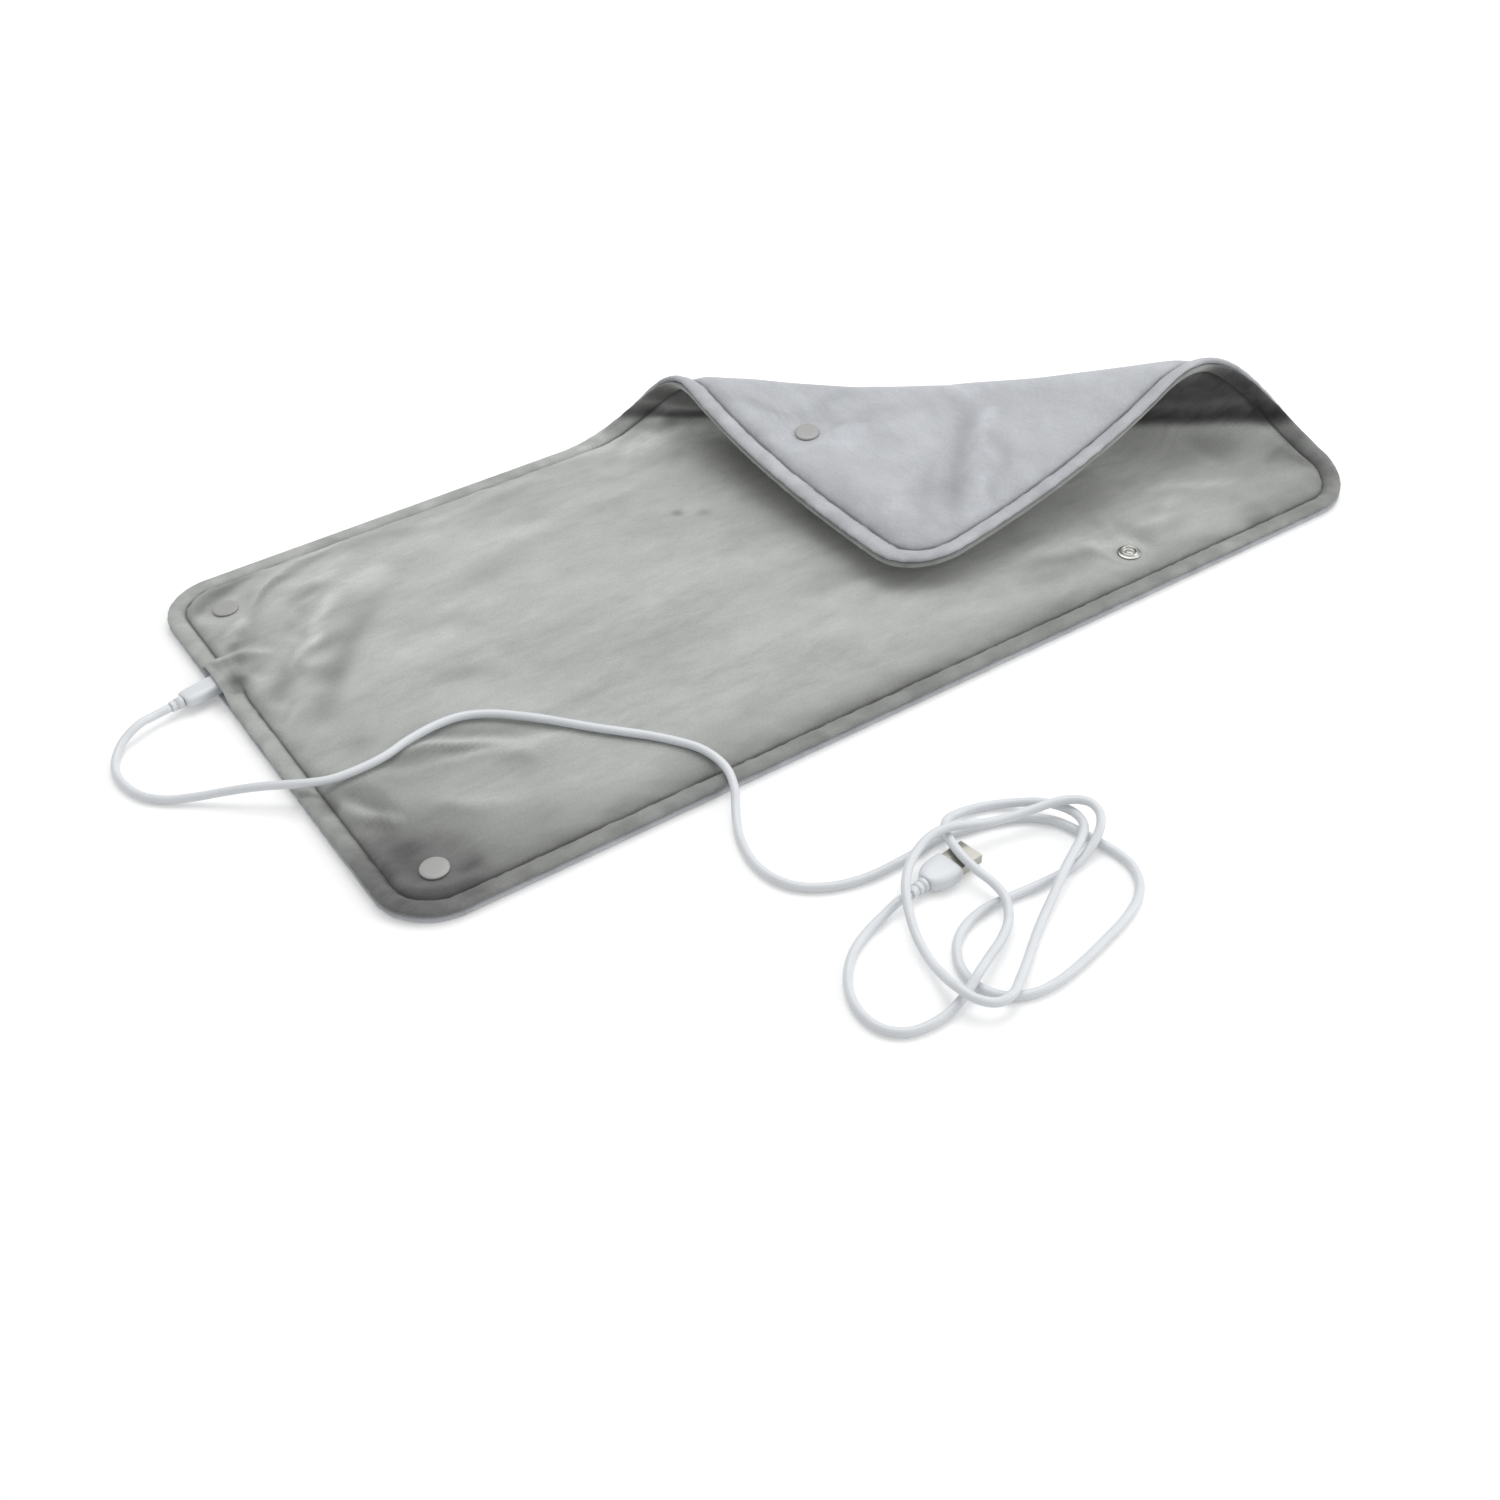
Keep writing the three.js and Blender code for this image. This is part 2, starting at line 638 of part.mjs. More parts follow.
// The heating wire: to and fro up to the crease, out into the flap and back
const wireX = -layerX - fitGap;
const wireRow = (run) => (2.5 - run) * wireSpacing;
const wireTurn = -layerX + wireSpacing;
const creaseX = (y) => (foldOffset - y * foldWay.y) / foldWay.x;
const wireOut = [
  [wireX, wireRow(0)], [creaseX(wireRow(0)), wireRow(0)], [creaseX(wireRow(1)), wireRow(1)],
  [wireTurn, wireRow(1)], [wireTurn, wireRow(2)], [creaseX(wireRow(2)), wireRow(2)],
  pastHinge(-fitGap, wireLoopBack),
];
const wireFlap = [
  pastHinge(fitGap, wireLoopBack), pastHinge(wireLoopReach, wireLoopBack + wireBend),
  pastHinge(wireLoopReach, wireLoopSide - wireSpacing), pastHinge(fitGap, wireLoopSide),
];
const wireBack = [
  pastHinge(-fitGap, wireLoopSide), [creaseX(wireRow(3)), wireRow(3)],
  [wireTurn, wireRow(3)], [wireTurn, wireRow(4)], [creaseX(wireRow(4)), wireRow(4)],
  [creaseX(wireRow(5)), wireRow(5)], [wireX, wireRow(5)],
];
const wire = (path) => tube(foldedPath(rounded(path, wireBend, 3), wireHeight), wireRadius, 4);
add('heating_wire_out', wire(wireOut), wireRed);
add('heating_wire_flap', wire(wireFlap), wireRed);
add('heating_wire_back', wire(wireBack), wireRed);

// The socket and the plug share one turned frame, at the pad's edge on the pocket's line
const plugFrame = new THREE.Group();
plugFrame.position.set(-padX, pocketPlace, pocketHalf);
plugFrame.rotation.z = plugTilt;
pad.add(plugFrame);

function slot(width, height, into = new THREE.Shape()) {
  const round = height / 2;
  const reach = width / 2 - round;
  into.moveTo(-reach, -round);
  into.lineTo(reach, -round);
  into.absarc(reach, 0, round, -Math.PI / 2, Math.PI / 2, false);
  into.lineTo(-reach, round);
  into.absarc(-reach, 0, round, Math.PI / 2, Math.PI * 3 / 2, false);
  return into;
}

function block(width, height, round) {
  const shape = new THREE.Shape();
  const [x, y] = [width / 2 - round, height / 2 - round];
  shape.moveTo(-x, -height / 2);
  shape.lineTo(x, -height / 2);
  shape.absarc(x, -y, round, -Math.PI / 2, 0, false);
  shape.lineTo(width / 2, y);
  shape.absarc(x, y, round, 0, Math.PI / 2, false);
  shape.lineTo(-x, height / 2);
  shape.absarc(-x, y, round, Math.PI / 2, Math.PI, false);
  shape.lineTo(-width / 2, -y);
  shape.absarc(-x, -y, round, Math.PI, Math.PI * 3 / 2, false);
  return shape;
}

// Extrudes a profile along +X: its own x goes to +Y and its y to +Z
function alongX(shape, length, start, bevel = 0) {
  const geometry = new THREE.ExtrudeGeometry(shape, {
    depth: length - 2 * bevel,
    bevelEnabled: bevel > 0,
    bevelThickness: bevel,
    bevelSize: bevel,
    bevelOffset: -bevel,
    bevelSegments: 2,
    curveSegments: 3,
  });
  geometry.rotateX(Math.PI / 2);
  geometry.rotateZ(Math.PI / 2);
  geometry.translate(start + bevel, 0, 0);
  return geometry;
}

function ringShape(width, height, wall) {
  const shape = slot(width, height);
  shape.holes.push(slot(width - 2 * wall, height - 2 * wall, new THREE.Path()));
  return shape;
}

const housing = block(socketWidth, socketThickness, gripRound / 2);
const bore = 2 * (socketWall + fitGap);
housing.holes.push(slot(mouthWidth + bore, mouthHeight + bore, new THREE.Path()));
add('socket_housing', alongX(housing, socketLength, socketBack), blackPlastic, plugFrame);
add('socket_shell', alongX(ringShape(mouthWidth + 2 * socketWall, mouthHeight + 2 * socketWall, socketWall),
  socketLength - 2 * fitGap, socketBack + fitGap), steel, plugFrame);
const tongue = new THREE.BoxGeometry(socketLength - 4 * fitGap, tongueWidth, tongueThickness);
tongue.translate(socketBack + 2 * fitGap + (socketLength - 4 * fitGap) / 2 + fitGap, 0, 0);
add('socket_tongue', tongue, blackPlastic, plugFrame);

const gripStart = -plugReach;
const gripEnd = socketBack - fitGap;
add('plug_grip', alongX(block(plugWidth, plugThickness, gripRound), gripEnd - gripStart, gripStart, gripEdge),
  whitePlastic, plugFrame);
add('plug_shell', alongX(ringShape(plugShellWidth, plugShellHeight, plugShellWall), plugShellLength,
  gripEnd + fitGap), steel, plugFrame);

// A ribbed sleeve that tapers from a plug down to its cord, along +X
function sleeve(start, length, thick, thin, ribs, rib) {
  const profile = [new THREE.Vector2(0, 0)];
  for (let i = 0; i <= ribs * 2; i += 1) {
    const radius = THREE.MathUtils.lerp(thick, thin, i / (ribs * 2));
    profile.push(new THREE.Vector2(radius - (i % 2 === 1 ? rib : 0), length * i / (ribs * 2)));
  }
  profile.push(new THREE.Vector2(0, length));
  const geometry = new THREE.LatheGeometry(profile, neckSides);
  geometry.rotateZ(Math.PI / 2);
  geometry.translate(start, 0, 0);
  return geometry;
}

add('plug_neck', sleeve(gripStart - fitGap, neckLength, neckRadiusPlug, neckRadiusCord, neckRibs, neckRib),
  whitePlastic, plugFrame);

// The leads from the socket to the wire, one of them through the thermal cut-out
plugFrame.updateMatrixWorld(true);
function leadStart(side) {
  const place = new THREE.Vector3(socketBack + socketLength + fitGap, side * leadGap / 2, 0);
  const { x, y } = plugFrame.localToWorld(place);
  return [x, y];
}
const lead = (path) => tube(foldedPath(rounded(path, leadGap, 3), leadHeight), leadRadius, 6);
const leadEnd = wireX - fitGap;
const cutoutX = -padX + cutoutEnd;
const cutoutY = pocketPlace - cutoutAside;
const cutoutTop = cutoutY + cutoutLength / 2 + fitGap;
const cutoutLow = cutoutY - cutoutLength / 2 - fitGap;
add('supply_lead', lead([leadStart(1), [cutoutX, wireRow(0)], [leadEnd, wireRow(0)]]), wireRed);
add('return_lead', lead([leadStart(-1), [cutoutX, pocketPlace - leadGap], [cutoutX, cutoutTop]]), leadWhite);
add('cutout_lead', lead([[cutoutX, cutoutLow], [cutoutX, wireRow(5)], [leadEnd, wireRow(5)]]), leadWhite);
const cutout = new THREE.CapsuleGeometry(cutoutRadius, cutoutLength - 2 * cutoutRadius, 3, 12);
add('thermal_cutout', cutout, leadWhite).position.copy(folded(cutoutX, cutoutY, leadHeight));

// Places a turned piece on a cover, just clear of its facets; side is 1 on the front and -1 on the back
function seated(name, profile, [u, v], side, material) {
  const face = (x, y) => side * outerFace(x, y);
  const centre = onFacet(coverNet, face, u, v);
  const rim = [];
  for (let i = 0; i < 12; i += 1) {
    const turn = Math.PI * i / 6;
    rim.push(onFacet(coverNet, face, u + capRadius * Math.cos(turn), v + capRadius * Math.sin(turn)));
  }
  const normal = rim[0].clone().sub(rim[6])
    .cross(rim[3].clone().sub(rim[9]))
    .setLength(side);
  const stand = Math.max(0, ...rim.map((place) => place.clone().sub(centre).dot(normal)));
  const outline = profile.map(([x, y]) => new THREE.Vector2(x, y));
  const piece = add(name, new THREE.LatheGeometry(outline, snapSides), material);
  piece.quaternion.setFromUnitVectors(new THREE.Vector3(0, 1, 0), normal);
  piece.position.copy(centre).addScaledVector(normal, stand + fitGap);
}

const capProfile = [[0, 0], [capRadius, 0], [capRadius, capThickness - capEdge],
  [capRadius - capEdge, capThickness], [0, capThickness]];
const socketProfile = [[0, 0], [ringRadius, 0], [ringRadius, flangeThickness / 2],
  [wallOuter + capEdge, flangeThickness], [wallOuter, wallHeight], [wallInner, wallHeight],
  [wallInner, flangeThickness], [crimpRadius, flangeThickness], [crimpRadius - capEdge, crimpHeight],
  [0, crimpHeight]];
const studProfile = [[0, 0], [ringRadius, 0], [ringRadius, flangeThickness / 2],
  [knobRadius + capEdge, flangeThickness], [knobRadius, knobHeight - capEdge],
  [knobRadius - capEdge, knobHeight], [0, knobHeight]];
seated('snap_cap_front_left', capProfile, snapPlaces.front_left, 1, snapPlastic);
seated('snap_stud_front_left', studProfile, snapPlaces.front_left, -1, snapPlastic);
seated('snap_cap_back_left', capProfile, snapPlaces.back_left, 1, snapPlastic);
seated('snap_stud_back_left', studProfile, snapPlaces.back_left, -1, snapPlastic);
seated('snap_socket_front_right', socketProfile, snapPlaces.front_right, 1, snapSteel);
seated('snap_cap_front_right', capProfile, snapPlaces.front_right, -1, snapPlastic);
seated('snap_socket_back_right', socketProfile, snapPlaces.back_right, 1, snapSteel);
seated('snap_cap_back_right', capProfile, snapPlaces.back_right, -1, snapPlastic);

// The USB-A plug on the table, along its own +X
const usb = new THREE.Group();
usb.position.set(usbX, usbY, usbHeight);
usb.rotation.z = usbTurn;
pad.add(usb);
const usbGripStart = usbNeckLength;
const usbShellStart = usbGripStart + usbGripLength;
const usbNeckEnd = usbNeckLength - fitGap;
const usbNeck = sleeve(usbNeckEnd, usbNeckEnd, usbNeckRadius, cord + neckRib, neckRibs, neckRib);
add('usb_neck', usbNeck, whitePlastic, usb);
const usbBlock = block(usbGripWidth, usbGripThickness, gripRound);
const usbGrip = alongX(usbBlock, usbGripLength, usbGripStart, gripEdge);
const gripPlaces = usbGrip.getAttribute('position');
for (let i = 0; i < gripPlaces.count; i += 1) {
  const share = 1 - Math.min((gripPlaces.getX(i) - usbGripStart) / (usbGripLength / 2), 1);
  const narrow = 1 - 2 * usbGripTaper * share ** 2 / usbGripWidth;
  gripPlaces.setY(i, gripPlaces.getY(i) * narrow);
  gripPlaces.setZ(i, gripPlaces.getZ(i) * (1 - (1 - narrow) / 2));
}
add('usb_grip', usbGrip, whitePlastic, usb);
const usbRing = new THREE.Shape();
const halfShellX = usbShellWidth / 2;
const halfShellY = usbShellHeight / 2;
const rectangle = (into, x, y) => {
  into.moveTo(-x, -y);
  into.lineTo(x, -y);
  into.lineTo(x, y);
  into.lineTo(-x, y);
  into.closePath();
  return into;
};
rectangle(usbRing, halfShellX, halfShellY);
usbRing.holes.push(rectangle(new THREE.Path(), halfShellX - usbShellWall, halfShellY - usbShellWall));
add('usb_shell', alongX(usbRing, usbShellLength, usbShellStart + fitGap), steel, usb);
const usbTongueLength = usbShellLength - fitGap;
const usbTongueZ = -halfShellY + usbShellWall + fitGap + usbTongueThickness / 2;
const usbTongueWidth = usbShellWidth - 2 * (usbShellWall + fitGap);
const usbTongue = new THREE.BoxGeometry(usbTongueLength, usbTongueWidth, usbTongueThickness);
usbTongue.translate(usbShellStart + fitGap + usbTongueLength / 2, 0, usbTongueZ);
add('usb_tongue', usbTongue, bluePlastic, usb);
for (let i = 0; i < 4; i += 1) {
  const contact = new THREE.BoxGeometry(usbContactLength, usbContactWidth, usbContactThickness);
  contact.translate(
    usbShellStart + usbShellLength - usbContactLength / 2 - fitGap,
    (i - 1.5) * usbContactSpacing,
    usbTongueZ + (usbTongueThickness + usbContactThickness) / 2 + fitGap,
  );
  add(`usb_contact_${i + 1}`, contact, brass, usb);
}

// The cord: straight out of the plug, over the pad and the table, and straight into the USB plug
usb.updateMatrixWorld(true);
const plugExit = gripStart - fitGap * 2 - neckLength;
const behind = (frame, exit, step) => frame.localToWorld(new THREE.Vector3(exit - step * cordDiameter, 0, 0));
const leaving = [0, 1, 2].map((step) => behind(plugFrame, plugExit, step));
const arriving = [2, 1, 0].map((step) => behind(usb, -fitGap, step));
const chosen = [...leadRoute, ...loopRoute].map((place) => new THREE.Vector3(...place));
const cordLine = new THREE.CatmullRomCurve3([...leaving, ...chosen, ...arriving], false, 'centripetal');
cordLine.arcLengthDivisions = 4000;
const cordLength = cordLine.getLength();
const cordPoints = cordLine.getSpacedPoints(Math.round(cordLength / cordStep));
for (const place of cordPoints) place.z = Math.max(place.z, floorZ);
add('cord', tube(cordPoints, cord, cordSides), whitePlastic);

// The cord's length, and its least gap to itself where it crosses its own loops
const probe = cordLine.getSpacedPoints(Math.round(cordLength));
let leastGap = Infinity;
probe.forEach((here, i) => {
  for (let k = i + 5 * cordDiameter; k < probe.length; k += 1) {
    leastGap = Math.min(leastGap, here.distanceTo(probe[k]) - cordDiameter);
  }
});
console.log(`cord ${cordLength.toFixed(0)} mm, least gap to itself ${leastGap.toFixed(2)} mm`);

export default pad;
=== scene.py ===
"""A plush heating pad with one corner folded over and a plug-in USB lead, for Blender 4.5.

The pad's covers are drawn as flat nets and carried through one fold map, the same as in the part's
source. Sizes in this file are in millimetres until a mesh is made.
"""

import math

import bpy
import numpy as np
from mathutils import Matrix, Vector


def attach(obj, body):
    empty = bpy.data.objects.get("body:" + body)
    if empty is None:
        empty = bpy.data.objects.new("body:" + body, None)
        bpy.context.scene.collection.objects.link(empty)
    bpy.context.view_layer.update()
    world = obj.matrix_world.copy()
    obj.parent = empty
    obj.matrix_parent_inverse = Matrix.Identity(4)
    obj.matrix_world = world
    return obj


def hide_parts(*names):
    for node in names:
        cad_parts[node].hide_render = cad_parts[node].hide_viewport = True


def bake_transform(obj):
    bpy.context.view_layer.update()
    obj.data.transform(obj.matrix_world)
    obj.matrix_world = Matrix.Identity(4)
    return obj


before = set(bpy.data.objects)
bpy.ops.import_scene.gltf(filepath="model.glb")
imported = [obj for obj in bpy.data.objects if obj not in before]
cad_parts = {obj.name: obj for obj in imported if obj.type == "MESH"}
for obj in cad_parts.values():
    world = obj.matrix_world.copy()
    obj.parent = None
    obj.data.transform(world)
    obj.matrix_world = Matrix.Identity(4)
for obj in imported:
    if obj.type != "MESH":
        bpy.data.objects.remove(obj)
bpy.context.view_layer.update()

MM = 0.001

# The camera: the photograph's place, turn and lens
CAMERA_TURN, CAMERA_TILT, CAMERA_ROLL = -31.6, 39.156, -3.44
CAMERA_DISTANCE = 824.38
CAMERA_TARGET = (-98.43, -130.77, 0)
CAMERA_LENS = 43.72

# The pad, as in the part's source
LENGTH, WIDTH, CORNER = 560, 300, 30
BORDER_HALF, CROWN_HALF, CROWN_REACH = 3.0, 5.2, 18
STITCH_INSET = 9.2
ROLL_TOP, ROLL_PLACE = 3.5, 3.4  # the rolled border: its height over the middle layer, and its inset
GROOVE = 1.1  # the height that is left in the stitched groove
PILLOW_HALF, PILLOW_RISE, PILLOW_REACH = 3.9, 1.5, 14
STOP_STITCHES = (43.4, 74.6)  # the pocket's mouth lies between these
LIP_HALF = 0.95  # half the thickness of the mouth's hem
POCKET_PLACE, POCKET_HALF, POCKET_FLAT, POCKET_SLOPE = 59, 5.7, 10, 10
POCKET_DEPTH, POCKET_FADE = 32, 20
MOUTH = (-LENGTH / 2, POCKET_PLACE, POCKET_HALF)
SNAP_PINCH, SNAP_SEAT, SNAP_FADE = 1.7, 7.5, 14
SNAPS = {
    "front_left": (-252, -123), "back_left": (-252, 116.5),
    "front_right": (139, -122), "back_right": (139, 118),
}

# The fold, as in the part's source
FOLD_TURN = math.radians(43.4)
FOLD_OFFSET, FOLD_SLANT, FOLD_BOW = 71.4, 9.6, 23.1
LOOP_BACK, LOOP_SIDE, LOOP_SAG = 29.9, 60, 25.5
FLAP_REST, FLAP_SETTLE = 10.9, 146
CORNER_START = -12  # the corner piece starts this far before the loop
FIRST_GUESS, FOLD_TRIES, SLOPE_STEPS = 0.2, 8, 24  # for the angle that the flap comes down at

# The cord, as in the part's source
CORD_DIAMETER = 4
PLUG_TILT = math.radians(10)
PLUG_EXIT, USB_EXIT = -24.1, -0.3
CORD_STEP, ROUTE_STEPS, CORD_SIDES = 1.5, 24, 14
FLOOR_GAP = 0.05  # the least height of a piece's skin over the table
USB_PLACE, USB_TURN = (-100.5, -251.5, 4.2), math.radians(8)
LEAD_ROUTE = [
    (-320, 50.5, 6.4), (-330, 45.5, 4.2), (-337, 37, 2.3), (-340, 27, 2.1), (-339.5, 16, 2.1), (-336, 5, 2.1),
    (-329, -4, 2.2), (-318, -12, 3.4), (-306, -20.5, 6.2), (-295, -29, 9), (-284, -37.5, 10.7),
    (-274.5, -44.5, 11.7), (-265.5, -49, 12.2), (-253, -50.5, 12.6), (-239.5, -49.5, 12.9),
    (-225.5, -45.5, 13.1), (-210.5, -43.5, 13.2), (-198.5, -45, 13.3), (-187.5, -51, 13.3),
    (-178.5, -59.5, 13.3), (-169.5, -69.5, 13.3), (-161.5, -79.5, 13.2), (-153.5, -89.5, 13.1),
    (-145.5, -98.5, 12.9), (-137, -108, 12.6), (-129.5, -117.5, 12.1), (-123, -127.5, 11.3),
    (-120, -137, 10.2), (-120, -146.5, 9.2), (-123, -156, 6.9), (-128.5, -165, 3.4), (-134, -175, 2.1),
    (-138, -186, 2.1), (-140, -198, 2.1), (-138.5, -209, 2.1), (-134, -218, 2.1), (-126, -225, 2.1),
    (-116, -229.5, 2.1), (-105, -231.7, 2.1), (-94, -232, 2.1), (-82, -231.5, 2.1), (-68, -230.5, 2.1),
]
LOOP_ROUTE = [
    (-54, -233, 2.1), (-40, -237, 2.1), (-30, -242.5, 2.1), (-22.5, -251, 2.1), (-19, -261, 2.1),
    (-17, -271, 2.1), (-15, -281, 2.1), (-15.5, -291, 2.1), (-20, -300, 2.1), (-28, -307, 2.1),
    (-40, -312.5, 2.1), (-54, -316.5, 2.1), (-68, -320, 2.1), (-82, -322.3, 2.1), (-94, -321.5, 2.1),
    (-104, -316.5, 2.1), (-109, -308, 2.1), (-109.5, -298, 2.1), (-106, -289, 2.1), (-99.5, -281.5, 2.1),
    (-90, -276.5, 2.1), (-79, -274.5, 2.1), (-66, -275.5, 2.1), (-53, -276.8, 2.1), (-41, -277.2, 2.1),
    (-31, -276.6, 2.7), (-21.5, -273.8, 5.9), (-14.2, -269.6, 9.1), (-10.4, -264, 10.9),
    (-10.6, -257.8, 11.5), (-15, -252.4, 11.3), (-22, -248.6, 10.6), (-31, -245.8, 9.4),
    (-41, -243.4, 8.8), (-51, -241.2, 9.6),
    (-60, -239, 11.7), (-69, -236.9, 13.3), (-78.5, -236.6, 13), (-88, -239.5, 11.8), (-96.5, -245, 11),
    (-103.5, -252.5, 9.5), (-109, -262, 6.8), (-113.5, -273, 4.4), (-116.8, -285, 4.1), (-119.4, -297, 6.6),
    (-120.4, -307, 9.1), (-118.2, -315.2, 8.6), (-112, -320.4, 7.2), (-104, -320, 6.7), (-96.5, -315.4, 6.2),
    (-87, -308.5, 4.4), (-76.5, -300.5, 3), (-66, -293.3, 3), (-55, -286.9, 4.6), (-44, -280.4, 6.7),
    (-33, -274.4, 7.5), (-24, -269.2, 7.3), (-18, -263.5, 7), (-16, -256.5, 6.6), (-17.5, -248.5, 6),
    (-21.5, -240.3, 4.8), (-29, -232.4, 2.9), (-39.5, -226, 2.1), (-51.5, -223.6, 3), (-61, -226, 5.6),
    (-67.3, -232.5, 7.5), (-71, -241.3, 9.2), (-72.8, -250, 9.4), (-72.3, -260, 7.8), (-71.2, -269, 6.9),
    (-72.6, -278, 6.5), (-78, -286.5, 4.7), (-87, -293.3, 4.8), (-97.5, -299, 6.3), (-107.5, -304.2, 7.3),
    (-117, -308, 4.6), (-127, -310.3, 2.4), (-137, -310.8, 2.1), (-146, -308.4, 2.1), (-152.2, -302, 2.1),
    (-154.3, -292.5, 2.1), (-152.2, -281.5, 2.1), (-146, -271, 2.1), (-137, -262.6, 2.1),
    (-126, -257, 2.1), (-115.5, -254, 2.9),
]


# Camera
def photo_camera():
    turn, tilt, roll = (math.radians(a) for a in (CAMERA_TURN, CAMERA_TILT, CAMERA_ROLL))
    back = Vector((math.sin(turn) * math.cos(tilt), -math.cos(turn) * math.cos(tilt), math.sin(tilt)))
    level = (-back).cross(Vector((0, 0, 1))).normalized()
    above = level.cross(-back)
    right = level * math.cos(roll) + above * math.sin(roll)
    up = above * math.cos(roll) - level * math.sin(roll)
    camera = bpy.data.objects.new("camera", bpy.data.cameras.new("camera"))
    camera.data.lens = CAMERA_LENS
    camera.data.clip_start = 0.02
    place = (Vector(CAMERA_TARGET) + back * CAMERA_DISTANCE) * MM
    camera.matrix_world = Matrix.Translation(place) @ Matrix((right, up, back)).transposed().to_4x4()
    bpy.context.scene.collection.objects.link(camera)
    bpy.context.scene.camera = camera


photo_camera()


# Small tools
def smooth(value, start, end):
    share = np.clip((value - start) / (end - start), 0, 1)
    return share * share * (3 - 2 * share)


def mix(a, b, share):
    return a + (b - a) * share


def make_mesh(name, places, faces, uv=None, normals=None):
    """A mesh object from places in millimetres."""
    mesh = bpy.data.meshes.new(name)
    mesh.from_pydata((np.asarray(places, float) * MM).tolist(), [], [list(map(int, face)) for face in faces])
    mesh.polygons.foreach_set("use_smooth", [True] * len(mesh.polygons))
    if uv is not None:
        layer = mesh.uv_layers.new(name="cloth")
        corners = np.empty(len(mesh.loops), int)
        mesh.loops.foreach_get("vertex_index", corners)
        layer.data.foreach_set("uv", np.asarray(uv, float)[corners].ravel())
    if normals is not None:
        mesh.normals_split_custom_set_from_vertices(np.asarray(normals, float).tolist())
    obj = bpy.data.objects.new(name, mesh)
    bpy.context.scene.collection.objects.link(obj)
    return obj


def skin(rings, sides):
    """Faces of a closed skin over rings of points, whose two end points come last."""
    faces = []
    for ring in range(rings - 1):
        low, high = ring * sides, (ring + 1) * sides
        for k in range(sides):
            n = (k + 1) % sides
            faces.append((low + k, low + n, high + n, high + k))
    first, end = rings * sides, (rings - 1) * sides
    for k in range(sides):
        faces.append((first, (k + 1) % sides, k))
        faces.append((first + 1, end + k, end + (k + 1) % sides))
    return faces


def flat_grid(columns, rows):
    """The points of a flat grid, and its quads."""
    flat = np.array([(x, y) for x in columns for y in rows])
    number = np.arange(len(flat)).reshape(len(columns), len(rows))
    corners = [number[:-1, :-1], number[1:, :-1], number[1:, 1:], number[:-1, 1:]]
    return flat, np.stack(corners, -1).reshape(-1, 4)


def vertex_normals(places, quads):
    """Smooth normals of a net of quads, area weighted."""
    diagonal_a = places[quads[:, 2]] - places[quads[:, 0]]
    diagonal_b = places[quads[:, 3]] - places[quads[:, 1]]
    face = np.cross(diagonal_a, diagonal_b)
    total = np.zeros_like(places)
    for corner in range(4):
        np.add.at(total, quads[:, corner], face)
    return total / np.maximum(np.linalg.norm(total, axis=1, keepdims=True), 1e-9)


def dress(obj, material, body, slot, *nodes):
    """Gives a piece its material and its body, and hides the CAD nodes that it stands for. The finish is not
    used.
    """
    obj.data.materials.append(material)
    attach(obj, body)
    if nodes:
        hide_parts(*nodes)
    return obj


# Materials
class Nodes:
    """A short way to write a node material."""

    def __init__(self, name):
        self.material = bpy.data.materials.new(name)
        self.material.use_nodes = True
        self.tree = self.material.node_tree
        self.shader = self.tree.nodes["Principled BSDF"]

    def add(self, kind, settings=None, **inputs):
        node = self.tree.nodes.new("ShaderNode" + kind)
        for key, value in (settings or {}).items():
            setattr(node, key, value)
        for key, value in inputs.items():
            self.set(node, key.replace("_", " "), value)
        return node

    def set(self, node, key, value):
        socket = node.inputs[int(key) if key.isdigit() else key]
        if isinstance(value, bpy.types.NodeSocket):
            self.tree.links.new(value, socket)
        else:
            socket.default_value = value

    def surface(self, **values):
        """Sets the shader's own sockets."""
        for key, value in values.items():
            self.set(self.shader, key.replace("_", " "), value)

    def noise(self, vector, scale, detail=3, roughness=0.5, distortion=0.0):
        node = self.add("TexNoise", Vector=vector, Scale=scale, Detail=detail, Roughness=roughness,
                        Distortion=distortion)
        return node.outputs["Fac"]

    def ramp(self, value, stops):
        node = self.add("ValToRGB", Fac=value)
        ramp = node.color_ramp
        ramp.elements[0].position, ramp.elements[0].color = stops[0][0], (*stops[0][1], 1)
        ramp.elements[1].position, ramp.elements[1].color = stops[-1][0], (*stops[-1][1], 1)
        for place, colour in stops[1:-1]:
            ramp.elements.new(place).color = (*colour, 1)
        return node.outputs["Color"]

    def stretch(self, vector, scale, turn=0.0):
        node = self.add("Mapping", Vector=vector, Scale=scale, Rotation=(0, 0, turn))
        return node.outputs["Vector"]

    def maths(self, kind, a, b=0.5):
        node = self.add("Math", {"operation": kind})
        self.set(node, "0", a)
        self.set(node, "1", b)
        return node.outputs["Value"]

    def blend(self, share, a, b, kind="MIX"):
        node = self.add("MixRGB", {"blend_type": kind}, Fac=share, Color1=a, Color2=b)
        return node.outputs["Color"]

    def bump(self, height, distance, strength=1.0, under=None):
        node = self.add("Bump", Height=height, Distance=distance, Strength=strength)
        if under is not None:
            self.set(node, "Normal", under)
        return node.outputs["Normal"]


PAINTED_SHADE_BASE = 1.42  # a painted shade value of one makes the cloth this much lighter, and minus one as much darker
